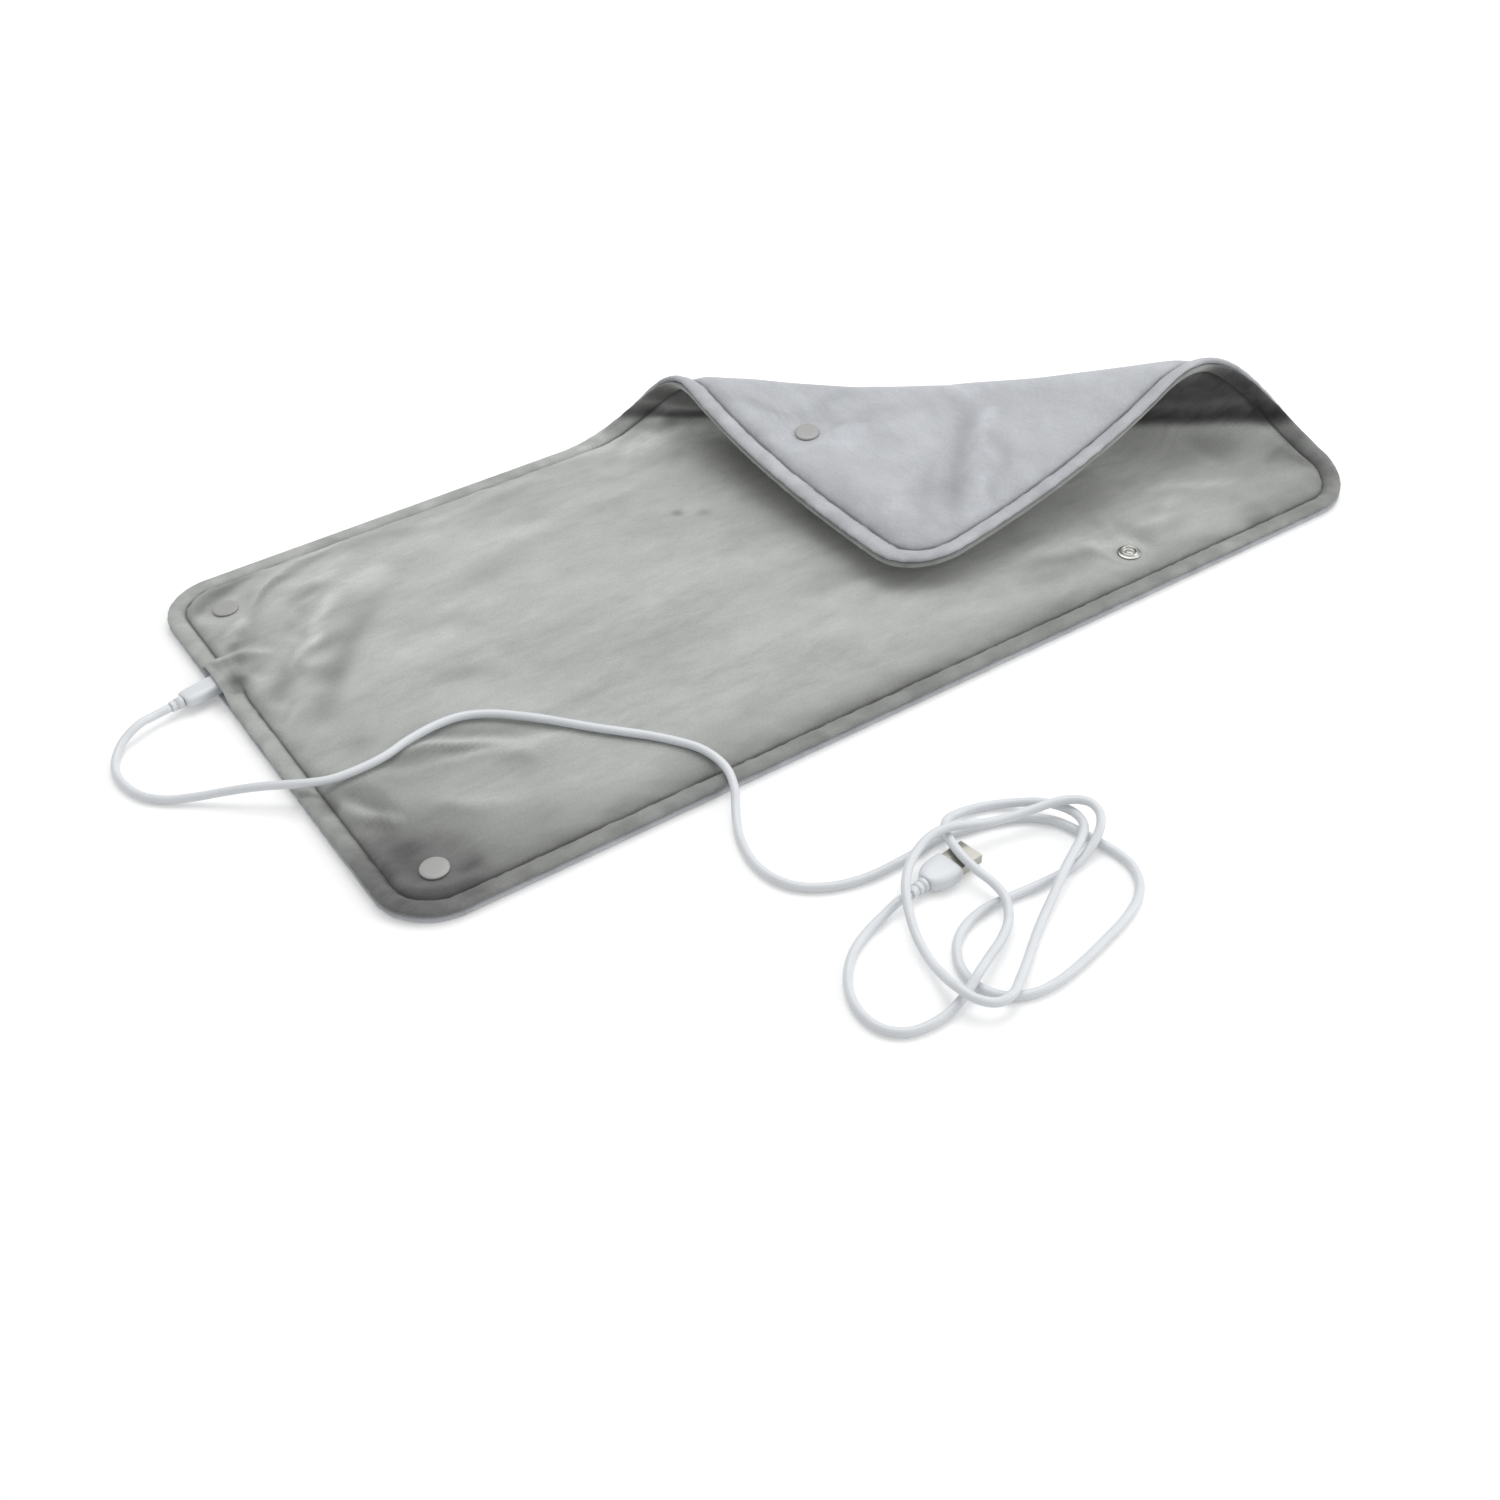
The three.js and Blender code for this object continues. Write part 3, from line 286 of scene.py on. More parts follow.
# The velvet's pattern: waves per metre, the share of each in the tone, and the tone's three stops
STREAK_SCALE, PATCH_SCALE, SMALL_SCALE = (9, 46, 1), 13.0, (70, 150, 1)
STREAK_SHARE, PATCH_SHARE, SMALL_SHARE = 0.3, 0.3, 0.2
DEEP_STOP, MIDDLE_STOP, LIGHT_STOP = 0.29, 0.4, 0.51
GRAIN_SCALE, FIBRE_SCALE = 2600.0, (900, 500, 1)
GRAIN_DARK, GRAIN_LIGHT = 0.86, 1.12
SHADE_EVEN_SHARE, SHADE_UNEVEN_SHARE = 0.55, 0.9  # the share of a painted shade value that is the same all over, and that varies
SEAM_TONE = 0.2  # the stitched groove against the deepest tone


def plush(name, deep, middle, light, streak_turn, seam_dark=0.7):
    """Short velvet: brushed streaks, patches where the nap lies the other way, and a fine grain, darkened and
    lightened by painted shade held in a point attribute.
    """
    n = Nodes(name)
    cloth = n.add("UVMap", {"uv_map": "cloth"}).outputs["UV"]
    streaks = n.stretch(cloth, STREAK_SCALE, streak_turn)
    streaks = n.noise(streaks, 1.0, detail=5, roughness=0.6, distortion=0.5)
    patches = n.noise(cloth, PATCH_SCALE, detail=6, roughness=0.62, distortion=0.9)
    small = n.stretch(cloth, SMALL_SCALE, streak_turn)
    small = n.noise(small, 1.0, detail=4, roughness=0.65, distortion=0.4)
    streaked = n.maths("MULTIPLY", streaks, STREAK_SHARE)
    mixed = n.maths("ADD", streaked, n.maths("MULTIPLY", patches, PATCH_SHARE))
    mixed = n.maths("ADD", mixed, n.maths("MULTIPLY", small, SMALL_SHARE))
    colour = n.ramp(mixed, [(DEEP_STOP, deep), (MIDDLE_STOP, middle), (LIGHT_STOP, light)])
    # painted shade and highlight from the point attribute, with the border's random mottle
    shade_and_mottle = n.add("Attribute", {"attribute_name": "shade_and_mottle"}).outputs["Fac"]
    painted_shading = n.maths("MULTIPLY", shade_and_mottle, n.maths("ADD", n.maths("MULTIPLY", small, SHADE_UNEVEN_SHARE), SHADE_EVEN_SHARE))
    colour = n.blend(1.0, colour, n.maths("POWER", PAINTED_SHADE_BASE, painted_shading), "MULTIPLY")
    seam = n.add("Attribute", {"attribute_name": "seam"}).outputs["Fac"]
    thread = (*(c * SEAM_TONE for c in deep), 1)
    colour = n.blend(n.maths("MULTIPLY", seam, seam_dark), colour, thread)
    grain = n.noise(cloth, GRAIN_SCALE, detail=2, roughness=0.6)
    fibres = n.noise(n.stretch(cloth, FIBRE_SCALE, streak_turn), 1.0, detail=3, roughness=0.7)
    speckle = n.maths("ADD", n.maths("MULTIPLY", grain, 0.5), n.maths("MULTIPLY", fibres, 0.5))
    shade = n.ramp(speckle, [(0.3, (GRAIN_DARK,) * 3), (0.7, (GRAIN_LIGHT,) * 3)])
    n.surface(Base_Color=n.blend(1.0, colour, shade, "MULTIPLY"), Roughness=0.92, Specular_IOR_Level=0.15,
              Sheen_Weight=0.6, Sheen_Roughness=0.45, Sheen_Tint=(*light, 1))
    soft = n.bump(small, distance=0.0012, strength=0.35)
    n.surface(Normal=n.bump(speckle, distance=0.0004, strength=0.55, under=soft))
    return n.material


def moulded(name, colour, roughness, grain=900.0, depth=0.00003, coat=0.0):
    """Plastic with a faint moulded grain and slightly uneven colour and gloss."""
    n = Nodes(name)
    place = n.add("TexCoord").outputs["Object"]
    uneven = n.noise(place, 60.0, detail=4, roughness=0.6)
    low = tuple(c * 0.94 for c in colour)
    spread = n.ramp(uneven, [(0.3, (roughness * 0.85,) * 3), (0.7, (roughness * 1.15,) * 3)])
    n.surface(Base_Color=n.ramp(uneven, [(0.3, low), (0.7, colour)]), Roughness=spread, Coat_Weight=coat,
              Normal=n.bump(n.noise(place, grain, detail=2), depth, strength=0.4))
    return n.material


def metal(name, colour, roughness):
    """Plain plated metal with fine drawn lines."""
    n = Nodes(name)
    place = n.add("TexCoord").outputs["Object"]
    lines = n.noise(n.stretch(place, (60, 2400, 2400)), 1.0, detail=3, roughness=0.6)
    low = tuple(c * 0.85 for c in colour)
    spread = n.ramp(lines, [(0.3, (roughness,) * 3), (0.7, (roughness * 1.5,) * 3)])
    n.surface(Base_Color=n.ramp(lines, [(0.3, low), (0.7, colour)]), Roughness=spread, Metallic=1.0,
              Normal=n.bump(lines, distance=0.00001, strength=0.3))
    return n.material


FRONT = plush("plush", (0.37, 0.38, 0.37), (0.455, 0.466, 0.453), (0.525, 0.536, 0.52), 0.15)
BACK = plush("plush_pale", (0.44, 0.452, 0.475), (0.515, 0.529, 0.555), (0.57, 0.584, 0.608), 0.9, 0.6)
FELT = plush("felt", (0.7, 0.68, 0.62), (0.76, 0.74, 0.68), (0.82, 0.8, 0.74), 0.0)
WHITE = moulded("white_plastic", (0.74, 0.765, 0.79), 0.34, 700.0, 0.00002)
SNAP = moulded("snap_grey", (0.35, 0.35, 0.345), 0.36, 300.0, 0.00002, 0.12)
BLACK = moulded("black_plastic", (0.03, 0.03, 0.032), 0.5)
BLUE = moulded("blue_plastic", (0.09, 0.08, 0.4), 0.4)
RED = moulded("wire_red", (0.38, 0.06, 0.04), 0.4)
PALE = moulded("lead_white", (0.8, 0.81, 0.83), 0.4)
STEEL = metal("steel", (0.42, 0.41, 0.37), 0.28)
BRIGHT = metal("snap_steel", (0.45, 0.45, 0.43), 0.3)
BRASS = metal("contact", (0.8, 0.6, 0.28), 0.25)


# Cord
def route_points():
    """The cord's middle line, the same spline as in the part's source, and its length."""
    def along(place, turn, distance):
        return (place[0] + distance * math.cos(turn), place[1] + distance * math.sin(turn), place[2])
    start = [along(MOUTH, PLUG_TILT, PLUG_EXIT - step * CORD_DIAMETER) for step in (0, 1, 2)]
    finish = [along(USB_PLACE, USB_TURN, USB_EXIT - step * CORD_DIAMETER) for step in (2, 1, 0)]
    p = np.array([*start, *LEAD_ROUTE, *LOOP_ROUTE, *finish], float)
    fine = []
    for i in range(len(p) - 1):
        before = p[i - 1] if i > 0 else 2 * p[0] - p[1]
        after = p[i + 2] if i + 2 < len(p) else 2 * p[-1] - p[-2]
        spans = (before, p[i]), (p[i], p[i + 1]), (p[i + 1], after)
        gaps = [np.sum((b - a) ** 2) ** 0.25 for a, b in spans]
        leave = ((p[i] - before) / gaps[0] - (p[i + 1] - before) / (gaps[0] + gaps[1])
                 + (p[i + 1] - p[i]) / gaps[1]) * gaps[1]
        arrive = ((p[i + 1] - p[i]) / gaps[1] - (after - p[i]) / (gaps[1] + gaps[2])
                  + (after - p[i + 1]) / gaps[2]) * gaps[1]
        for share in np.arange(ROUTE_STEPS) / ROUTE_STEPS:
            fine.append((2 * p[i] - 2 * p[i + 1] + leave + arrive) * share ** 3
                        + (3 * p[i + 1] - 3 * p[i] - 2 * leave - arrive) * share ** 2
                        + leave * share + p[i])
    fine = np.array([*fine, p[-1]])
    travel = np.r_[0, np.cumsum(np.linalg.norm(np.diff(fine, axis=0), axis=1))]
    even = np.linspace(0, travel[-1], int(travel[-1] / CORD_STEP))
    line = np.stack([np.interp(even, travel, fine[:, axis]) for axis in range(3)], axis=1)
    line[:, 2] = np.maximum(line[:, 2], CORD_DIAMETER / 2 + FLOOR_GAP)
    return line, float(travel[-1])


def sweep(line, ring):
    """A closed tube of a ring of (sideways, up) points along a line. Rings stay level with the line."""
    forward = np.gradient(line, axis=0)
    forward /= np.linalg.norm(forward, axis=1, keepdims=True)
    side = np.cross(forward, (0, 0, 1.0))
    side /= np.linalg.norm(side, axis=1, keepdims=True)
    up = np.cross(side, forward)
    places = line[:, None] + side[:, None] * ring[None, :, :1] + up[:, None] * ring[None, :, 1:]
    return np.concatenate([places.reshape(-1, 3), line[[0, -1]]]), skin(len(line), len(ring))


turns = np.linspace(0, 2 * np.pi, CORD_SIDES, endpoint=False)
cord_ring = np.stack([np.cos(turns), -np.sin(turns)], axis=1) * CORD_DIAMETER / 2
cord_line, cord_length = route_points()
cord_places, cord_faces = sweep(cord_line, cord_ring)
cord = dress(make_mesh("cord_tube", cord_places, cord_faces), WHITE, "lead", "white_plastic", "cord")


# The pad's shape
def inset_of(flat):
    over = np.abs(flat) - (LENGTH / 2 - CORNER, WIDTH / 2 - CORNER)
    return CORNER - np.where((over > 0).all(axis=1), np.hypot(over[:, 0], over[:, 1]), over.max(axis=1))


def pocket_share(flat):
    aside, inside = np.abs(flat[:, 1] - POCKET_PLACE), flat[:, 0] + LENGTH / 2
    return ((1 - smooth(aside, POCKET_FLAT, POCKET_FLAT + POCKET_SLOPE))
            * (1 - smooth(inside, POCKET_DEPTH, POCKET_DEPTH + POCKET_FADE)))


def snap_share(flat, reach=SNAP_FADE):
    share = np.zeros(len(flat))
    for place in SNAPS.values():
        away = np.hypot(*(flat - place).T)
        share = np.maximum(share, 1 - smooth(away, SNAP_SEAT, SNAP_SEAT + reach))
    return share


def plump(flat):
    """Half the pad's thickness, and the height of its middle layer over the table."""
    past = np.maximum(inset_of(flat) - STITCH_INSET, 0)
    half = BORDER_HALF + (CROWN_HALF - BORDER_HALF) * (1 - np.exp(-past / CROWN_REACH))
    return mix(half, POCKET_HALF, pocket_share(flat))


WAY = np.array([math.cos(FOLD_TURN), math.sin(FOLD_TURN)])
CREASE = np.array([WAY[1], -WAY[0]])
CREASE_BACK = np.array([(FOLD_OFFSET - WIDTH / 2 * WAY[1]) / WAY[0], WIDTH / 2]) @ CREASE
CREASE_SIDE = np.array([LENGTH / 2, (FOLD_OFFSET - LENGTH / 2 * WAY[0]) / WAY[1]]) @ CREASE


def loop_law(along):
    """Where the loop starts, and its radius, at a place along the crease."""
    share = (along - CREASE_BACK) / (CREASE_SIDE - CREASE_BACK)
    bow = 4 * share * (1 - share)
    start = FOLD_OFFSET + FOLD_SLANT * share + FOLD_BOW * bow
    return start, mix(LOOP_BACK, LOOP_SIDE, share) - LOOP_SAG * bow


def folded(flat, height):
    """Where flat points go when the corner is folded over. Height is over the pad's middle layer."""
    along = flat @ CREASE
    start, radius = loop_law(along)
    past = flat @ WAY - start
    # past half a turn the loop bends on by extra, so that the flap comes down to the pad as it settles
    extra = np.full(len(flat), FIRST_GUESS)
    for _ in range(FOLD_TRIES):
        miss = radius * (1 + np.cos(extra)) - FLAP_SETTLE * (extra - extra ** 3 / 18) - FLAP_REST
        extra += miss / (radius * np.sin(extra) + FLAP_SETTLE * (1 - extra ** 2 / 6))
    bend = math.pi + extra
    looped = np.clip(past, 0, bend * radius) / radius
    way = np.where(past < 0, past, radius * np.sin(looped))
    rise = radius * (1 - np.cos(looped))
    rest = np.maximum(past - bend * radius, 0)
    steps = (np.arange(SLOPE_STEPS) + 0.5) / SLOPE_STEPS
    slope = math.pi + extra[:, None] * np.exp(-rest[:, None] * steps / FLAP_SETTLE)
    way += np.cos(slope).mean(axis=1) * rest
    rise += np.sin(slope).mean(axis=1) * rest
    turn = np.where(rest > 0, math.pi + extra * np.exp(-rest / FLAP_SETTLE), looped)
    way += start - height * np.sin(turn)
    rise += plump(flat) + height * np.cos(turn)
    return np.column_stack([way[:, None] * WAY + along[:, None] * CREASE, rise])


# Wrinkles
def ridge(flat, start_x, start_y, end_x, end_y, width, height, bow):
    """One soft fold in the cloth, fading at both ends, bowed to its left."""
    a, b = np.array([start_x, start_y], float), np.array([end_x, end_y], float)
    length = np.linalg.norm(b - a)
    way = (b - a) / length
    share = ((flat - a) @ way) / length
    aside = (flat - a) @ np.array([-way[1], way[0]]) - bow * 4 * share * (1 - share)
    fade = smooth(share, -0.15, 0.3) * (1 - smooth(share, 0.65, 1.15))
    return height * np.exp(-(aside / width) ** 2) * fade


FRONT_FOLDS = [
    # x and y of the start and the end, width, height, bow
    # by the back left snap and the pocket
    (-243, 110, -184, 137, 3, 1.2, 2), (-270, 119, -230, 136, 5, -1.4, 2),
    (-185, 72, -246, -4, 8, -1.0, -6), (-200, 88, -238, 32, 6, 0.9, -4),
    (-215, 97, -245, 34, 3.5, -0.9, -4), (-246, 44, -264, 20, 6, -1.1, 0),
    (-241, 100, -257, 50, 6, -0.9, -6), (-250, 97, -262, 76, 4, 0.8, 0),
    (-258, 101, -269, 75, 3, -0.6, 0), (-222, 100, -178, 104, 8, 0.8, 3),
    (-280, 66, -250, 61, 4, 1.0, 0), (-274, 73, -250, 78, 4, -1.3, 1),
    (-277, 45, -258, 53, 4, -1.6, 0), (-257, 18, -268, -4, 2.5, -0.5, 0),
    # under the cord and by the front left snap
    (-248, -52, -200, -71, 4, -1.3, 3), (-238, -46, -186, -74, 5, 0.8, 4),
    (-232, -42, -168, -79, 5, -1.0, 5), (-222, -64, -180, -92, 7, 0.7, 4),
    (-264, -56, -253, -86, 4, -1.7, 2), (-268, -62, -259, -96, 4.5, 0.9, 2),
    (-266, -86, -259, -118, 6, -1.0, 2), (-246, -132, -234, -131, 4, -0.9, 0),
    (-270, -128, -246, -142, 5, 0.6, -2), (-240, -90, -214, -112, 8, 0.6, 2),
    # long soft ones over the middle
    (-200, 27, -160, 25, 7, -0.7, 2), (-200, -4, -176, -24, 7, -0.7, 2),
    (-190, 40, -90, 48, 12, -0.5, 6), (-150, 66, -40, 84, 10, 0.5, 3),
    (-170, 118, -60, 128, 8, 0.5, -3), (-120, -10, 10, 0, 14, -0.4, 6),
    (-18, -57, 30, -65, 7, -0.8, 2), (16, -75, 46, -90, 7, -0.7, 2),
    # round the front right snap
    (74, -114, 126, -125, 8, -1.0, 3), (84, -104, 136, -116, 7, 0.6, 3),
    (151, -106, 149, -132, 5, -0.9, 0), (142, -90, 139, -116, 2, -0.7, 0),
    (152, -120, 200, -110, 6, 0.8, 3), (202, -136, 222, -136, 5, -1.0, 0),
    (170, -92, 226, -120, 8, 0.7, 4),
    # inside the loop, at its two open ends
    (277, -68, 271, -90, 4, -1.7, -3), (268, -88, 284, -89, 4, -1.2, 0),
    (268, -100, 285, -104, 4, -1.4, 0), (250, -106, 274, -123, 5, -0.9, 2),
    (228, -70, 242, -97, 7, -0.9, 2), (213, -63, 243, -47, 3, -0.7, 0),
    (12, 150, 74, 140, 4, -1.3, 3), (14, 140, 60, 112, 5, 1.0, 3), (2, 138, 40, 104, 5, -1.0, 2),
    (-30, 108, 8, 138, 8, -0.8, 2), (0, 100, 30, 140, 8, 0.9, 3),
]
BACK_FOLDS = [
    # down the middle of the flap
    (160, 46, 205, 62, 6, -1.0, -4), (188, 50, 272, 122, 8, -2.2, 5),
    (206, 44, 284, 106, 8, 1.6, 5),
    # round the snap
    (137, 124, 176, 62, 8, 0.7, 6), (150, 118, 204, 96, 8, -0.6, 4),
    (126, 124, 96, 138, 5, 0.9, 0), (134, 108, 110, 66, 7, -0.7, 3),
    (148, 110, 160, 70, 5, 0.7, 3), (236, 134, 214, 72, 9, 0.6, -6),
    (60, 120, 120, 50, 9, 0.7, -4), (90, 110, 160, 34, 9, -0.6, -5),
]
# Strokes of painted shade and painted highlight, mostly along the folds of the back and the front: dark ones
# below zero, bright ones above
BACK_SHADE_STROKES = [
    (186, 46, 268, 114, 6, -1.0, 4), (202, 46, 222, 60, 5, 0.5, 2),
    (150, 92, 196, 96, 7, -0.4, 3), (128, 104, 120, 76, 5, -0.4, 2),
    (226, 112, 240, 84, 7, -0.35, 3),
]
FRONT_SHADE_STROKES = [
    (-272, 118, -230, 136, 5, -1.6, 3), (-186, 72, -246, -2, 6, -0.9, -6),
    (-204, 88, -234, 44, 5, 0.7, -4), (-242, 98, -258, 50, 5, -0.7, -6),
    (-247, 42, -264, 20, 6, -0.9, 0), (-278, 45, -266, 50, 5, -2.0, 0),
    (-264, 72, -264, 58, 3.5, -0.9, 0), (-206, 105, -168, 97, 9, 0.8, -3),
    (-176, 112, -120, 108, 10, 0.5, 2), (-254, 96, -246, 94, 6, 0.6, 0),
    (-182, 127, -136, 122, 7, -0.6, 0), (-264, -56, -254, -86, 4, -1.6, 2),
    (-268, -62, -260, -98, 4, 0.4, 2), (-272, -52, -270, -64, 4, -1.4, 0),
    (-266, -88, -258, -120, 7, -1.0, 2), (-246, -132, -232, -131, 5, -1.0, 0),
    (-250, -53, -200, -70, 4, -1.0, 3), (-220, -44, -176, -74, 5, -0.8, 4),
    (-270, -135, -230, -144, 6, -0.8, 0), (-200, -6, -178, -22, 7, -0.4, 2),
    (-16, -58, 28, -64, 6, -0.5, 2), (74, -116, 126, -125, 7, -0.6, 3),
    (204, -138, 222, -137, 5, -1.0, 0), (276, -70, 270, -90, 4, -1.4, -3),
    (268, -101, 286, -105, 4, -1.2, 0), (250, -106, 274, -123, 6, -0.8, 2),
    (226, -72, 242, -96, 8, -0.6, 2), (31, 112, 29, 50, 9, -0.9, 6),
]
# Seeds of the waves, with the cover's side added where the two covers differ
SEEDS = {"long": 3, "short": 9, "border": 21, "fluff": 31, "groove": 41, "depth": 45, "edge": 51, "warp": 61,
         "pucker": 71, "shadow": 81, "mottle": 91, "fleck": 95}


def wavy(flat, size, seed, count=26):
    """Gentle random waves of about one size, always the same for one seed."""
    random = np.random.default_rng(seed)
    total = np.zeros(len(flat))
    for _ in range(count):
        turn = random.uniform(0, 2 * math.pi)
        step = 2 * math.pi / (size * random.uniform(0.7, 1.6))
        total += np.sin(flat @ (step * math.cos(turn), step * math.sin(turn)) + random.uniform(0, 6.28))
    return total / math.sqrt(count)


DIP_LIMIT = 1.3  # no fold dips further than this, to stay over the layers inside
FOLD_LIFT = 1.6  # how much stronger every fold is made than in its list
LONG_SIZE, LONG_LIFT, SHORT_SIZE, SHORT_LIFT = 62, 0.3, 26, 0.12
WARP_SIZE, WARP_REACH = 30, 2.5  # the folds wander sideways by this much
BORDER_SIZE, BORDER_LIFT, FLUFF_SIZE, FLUFF_LIFT = 16, 0.07, 8, 0.05
PUCKER_SIZE, PUCKER_LIFT, PUCKER_PLACE, PUCKER_REACH = 17, 0.2, 4, 5
CALM_INSIDE, CALM_SNAP, MOUTH_INSET = 10, 6, (2, 6)  # the folds fade over these beside the border and snaps


def wrinkles(flat, side):
    """How far folds and waves lift the cloth. The folds keep off the sewn border and the snaps."""
    total = LONG_LIFT * wavy(flat, LONG_SIZE, SEEDS["long"] + side)
    total = total + SHORT_LIFT * wavy(flat * (0.5, 1), SHORT_SIZE, SEEDS["short"] + side)
    warp = [WARP_REACH * wavy(flat, WARP_SIZE, SEEDS["warp"] + axis) for axis in (0, 1)]
    warped = flat + np.column_stack(warp)
    for fold in (FRONT_FOLDS if side > 0 else BACK_FOLDS):
        total = total + FOLD_LIFT * ridge(warped, *fold)
    inset = inset_of(flat)
    mouth = pocket_share(flat) * smooth(inset, *MOUTH_INSET)
    loose = np.maximum(smooth(inset, STITCH_INSET, STITCH_INSET + CALM_INSIDE), mouth)
    total = np.where(total < 0, DIP_LIMIT * (np.exp(np.minimum(total, 0) / DIP_LIMIT) - 1), total)
    total = total * loose * (1 - snap_share(flat, CALM_SNAP))
    border = BORDER_LIFT * wavy(flat, BORDER_SIZE, SEEDS["border"] + side)
    border = border + FLUFF_LIFT * wavy(flat, FLUFF_SIZE, SEEDS["fluff"] + side)
    beside = np.exp(-np.abs(inset - STITCH_INSET - PUCKER_PLACE) / PUCKER_REACH)
    pucker = PUCKER_LIFT * wavy(flat, PUCKER_SIZE, SEEDS["pucker"] + side) * beside
    return total + pucker + border * (1 - smooth(inset, STITCH_INSET - 1, STITCH_INSET + 4))


SLOPE_SHADE_WAY = np.array([0.25, 0.97])  # slopes that fall this way are painted lighter and slopes that rise this way darker, as painted shade
SLOPE_SHADE_STEP, SLOPE_SHADE_GAIN, SLOPE_SHADE_DARKEST, SLOPE_SHADE_BRIGHTEST = 2, 0.9, -1.2, 0.45
# Spots of painted shade on the front cover, one painted lighter: place, size and strength
SHADE_SPOTS = [
    ((-256, -118), 30, 2.6), ((-236, -66), 18, 0.5), ((-200, -126), 22, 0.5), ((-120, -128), 22, 0.3),
    ((-243, -30), 8, 0.8), ((-250, 2), 8, 0.7), ((-230, 30), 10, 0.4), ((-26, 46), 3, 1.6),
    ((-14, 38), 3, 0.9), ((-271, 50), 5, 1.6), ((-263, 74), 3.5, 1.0), ((-262, 51), 4, 0.7),
    ((-247, 46), 6, 0.6), ((-236, 31), 7, 0.6), ((-244, 12), 6, 0.7), ((-258, 63), 5, -0.5),
]
# Painted shade beside the groove: its reach, and how dark it is, with more at the front and left edges
BESIDE_REACH, BESIDE_DARK, BESIDE_FRONT, BESIDE_LEFT, BESIDE_BACK = 9, 0.45, 1.2, 0.6, 0.3
# How much less painted shade lies on the roll, how much darker the front border is painted, and where the
# front and the left begin
ROLL_LOSS, FRONT_DIM, FRONT_FROM, LEFT_FROM, LEFT_BEFORE = 0.3, 0.3, (60, 140), (220, 275), (-20, 80)
# The back cover's share of the painted shade, and of the random mottle
BACK_SHADE_SHARE, BACK_MOTTLE = 0.8, 0.6
MOTTLE_SIZE, MOTTLE_TONE, FLECK_SIZE, FLECK_TONE = 24, 0.22, 10, 0.13
# Painted shade and light on the front cover in the loop, by its bend: a wall painted dark over a floor
# painted lighter. The wall's two tones are those at the back and the side edge, and the floor's light ends by
# its place in x
WALL_TONES, WALL_FROM, WALL_FADE, WALL_FADED = (2.4, 5.5), (1.0, 1.3), (2.0, 2.9), 0.9
# a line of painted shadow on the wall, and a painted highlight line further round the bend
SHADOW_LINE, SHADOW_TONE, LIGHT_LINE, LIGHT_TONE, LINE_WIDTH = 1.2, 1.8, 1.5, 1.2, 0.1
FLOOR_NEAR, FLOOR_FROM, FLOOR_TO, FLOOR_FAR, FLOOR_BEFORE = 0.8, (-0.8, 0.1), (0.7, 1.0), 0.4, (-2.2, -0.8)
FLOOR_END, FLOOR_LOSS = (170, 240), 1.5


def painted_loop_shade(flat):
    """The front cover's painted shade and painted light in the loop."""
    along = flat @ CREASE
    start, radius = loop_law(along)
    bent = (flat @ WAY - start) / radius + 0.05 * wavy(flat, 60, SEEDS["shadow"])
    share = np.clip((along - CREASE_BACK) / (CREASE_SIDE - CREASE_BACK), 0, 1)
    shadow = SHADOW_TONE * np.exp(-((bent - SHADOW_LINE) / LINE_WIDTH) ** 2)
    wall = mix(*WALL_TONES, share) * smooth(bent, *WALL_FROM) + shadow
    wall = wall * (1 - WALL_FADED * smooth(bent, *WALL_FADE))
    floor = FLOOR_NEAR * smooth(bent, *FLOOR_FROM) * (1 - smooth(bent, *FLOOR_TO))
    floor = floor + FLOOR_FAR * smooth(bent, *FLOOR_BEFORE) * share
    floor = floor * (1 - FLOOR_LOSS * smooth(flat[:, 0], *FLOOR_END))
    return floor - wall + LIGHT_TONE * np.exp(-((bent - LIGHT_LINE) / LINE_WIDTH) ** 2)


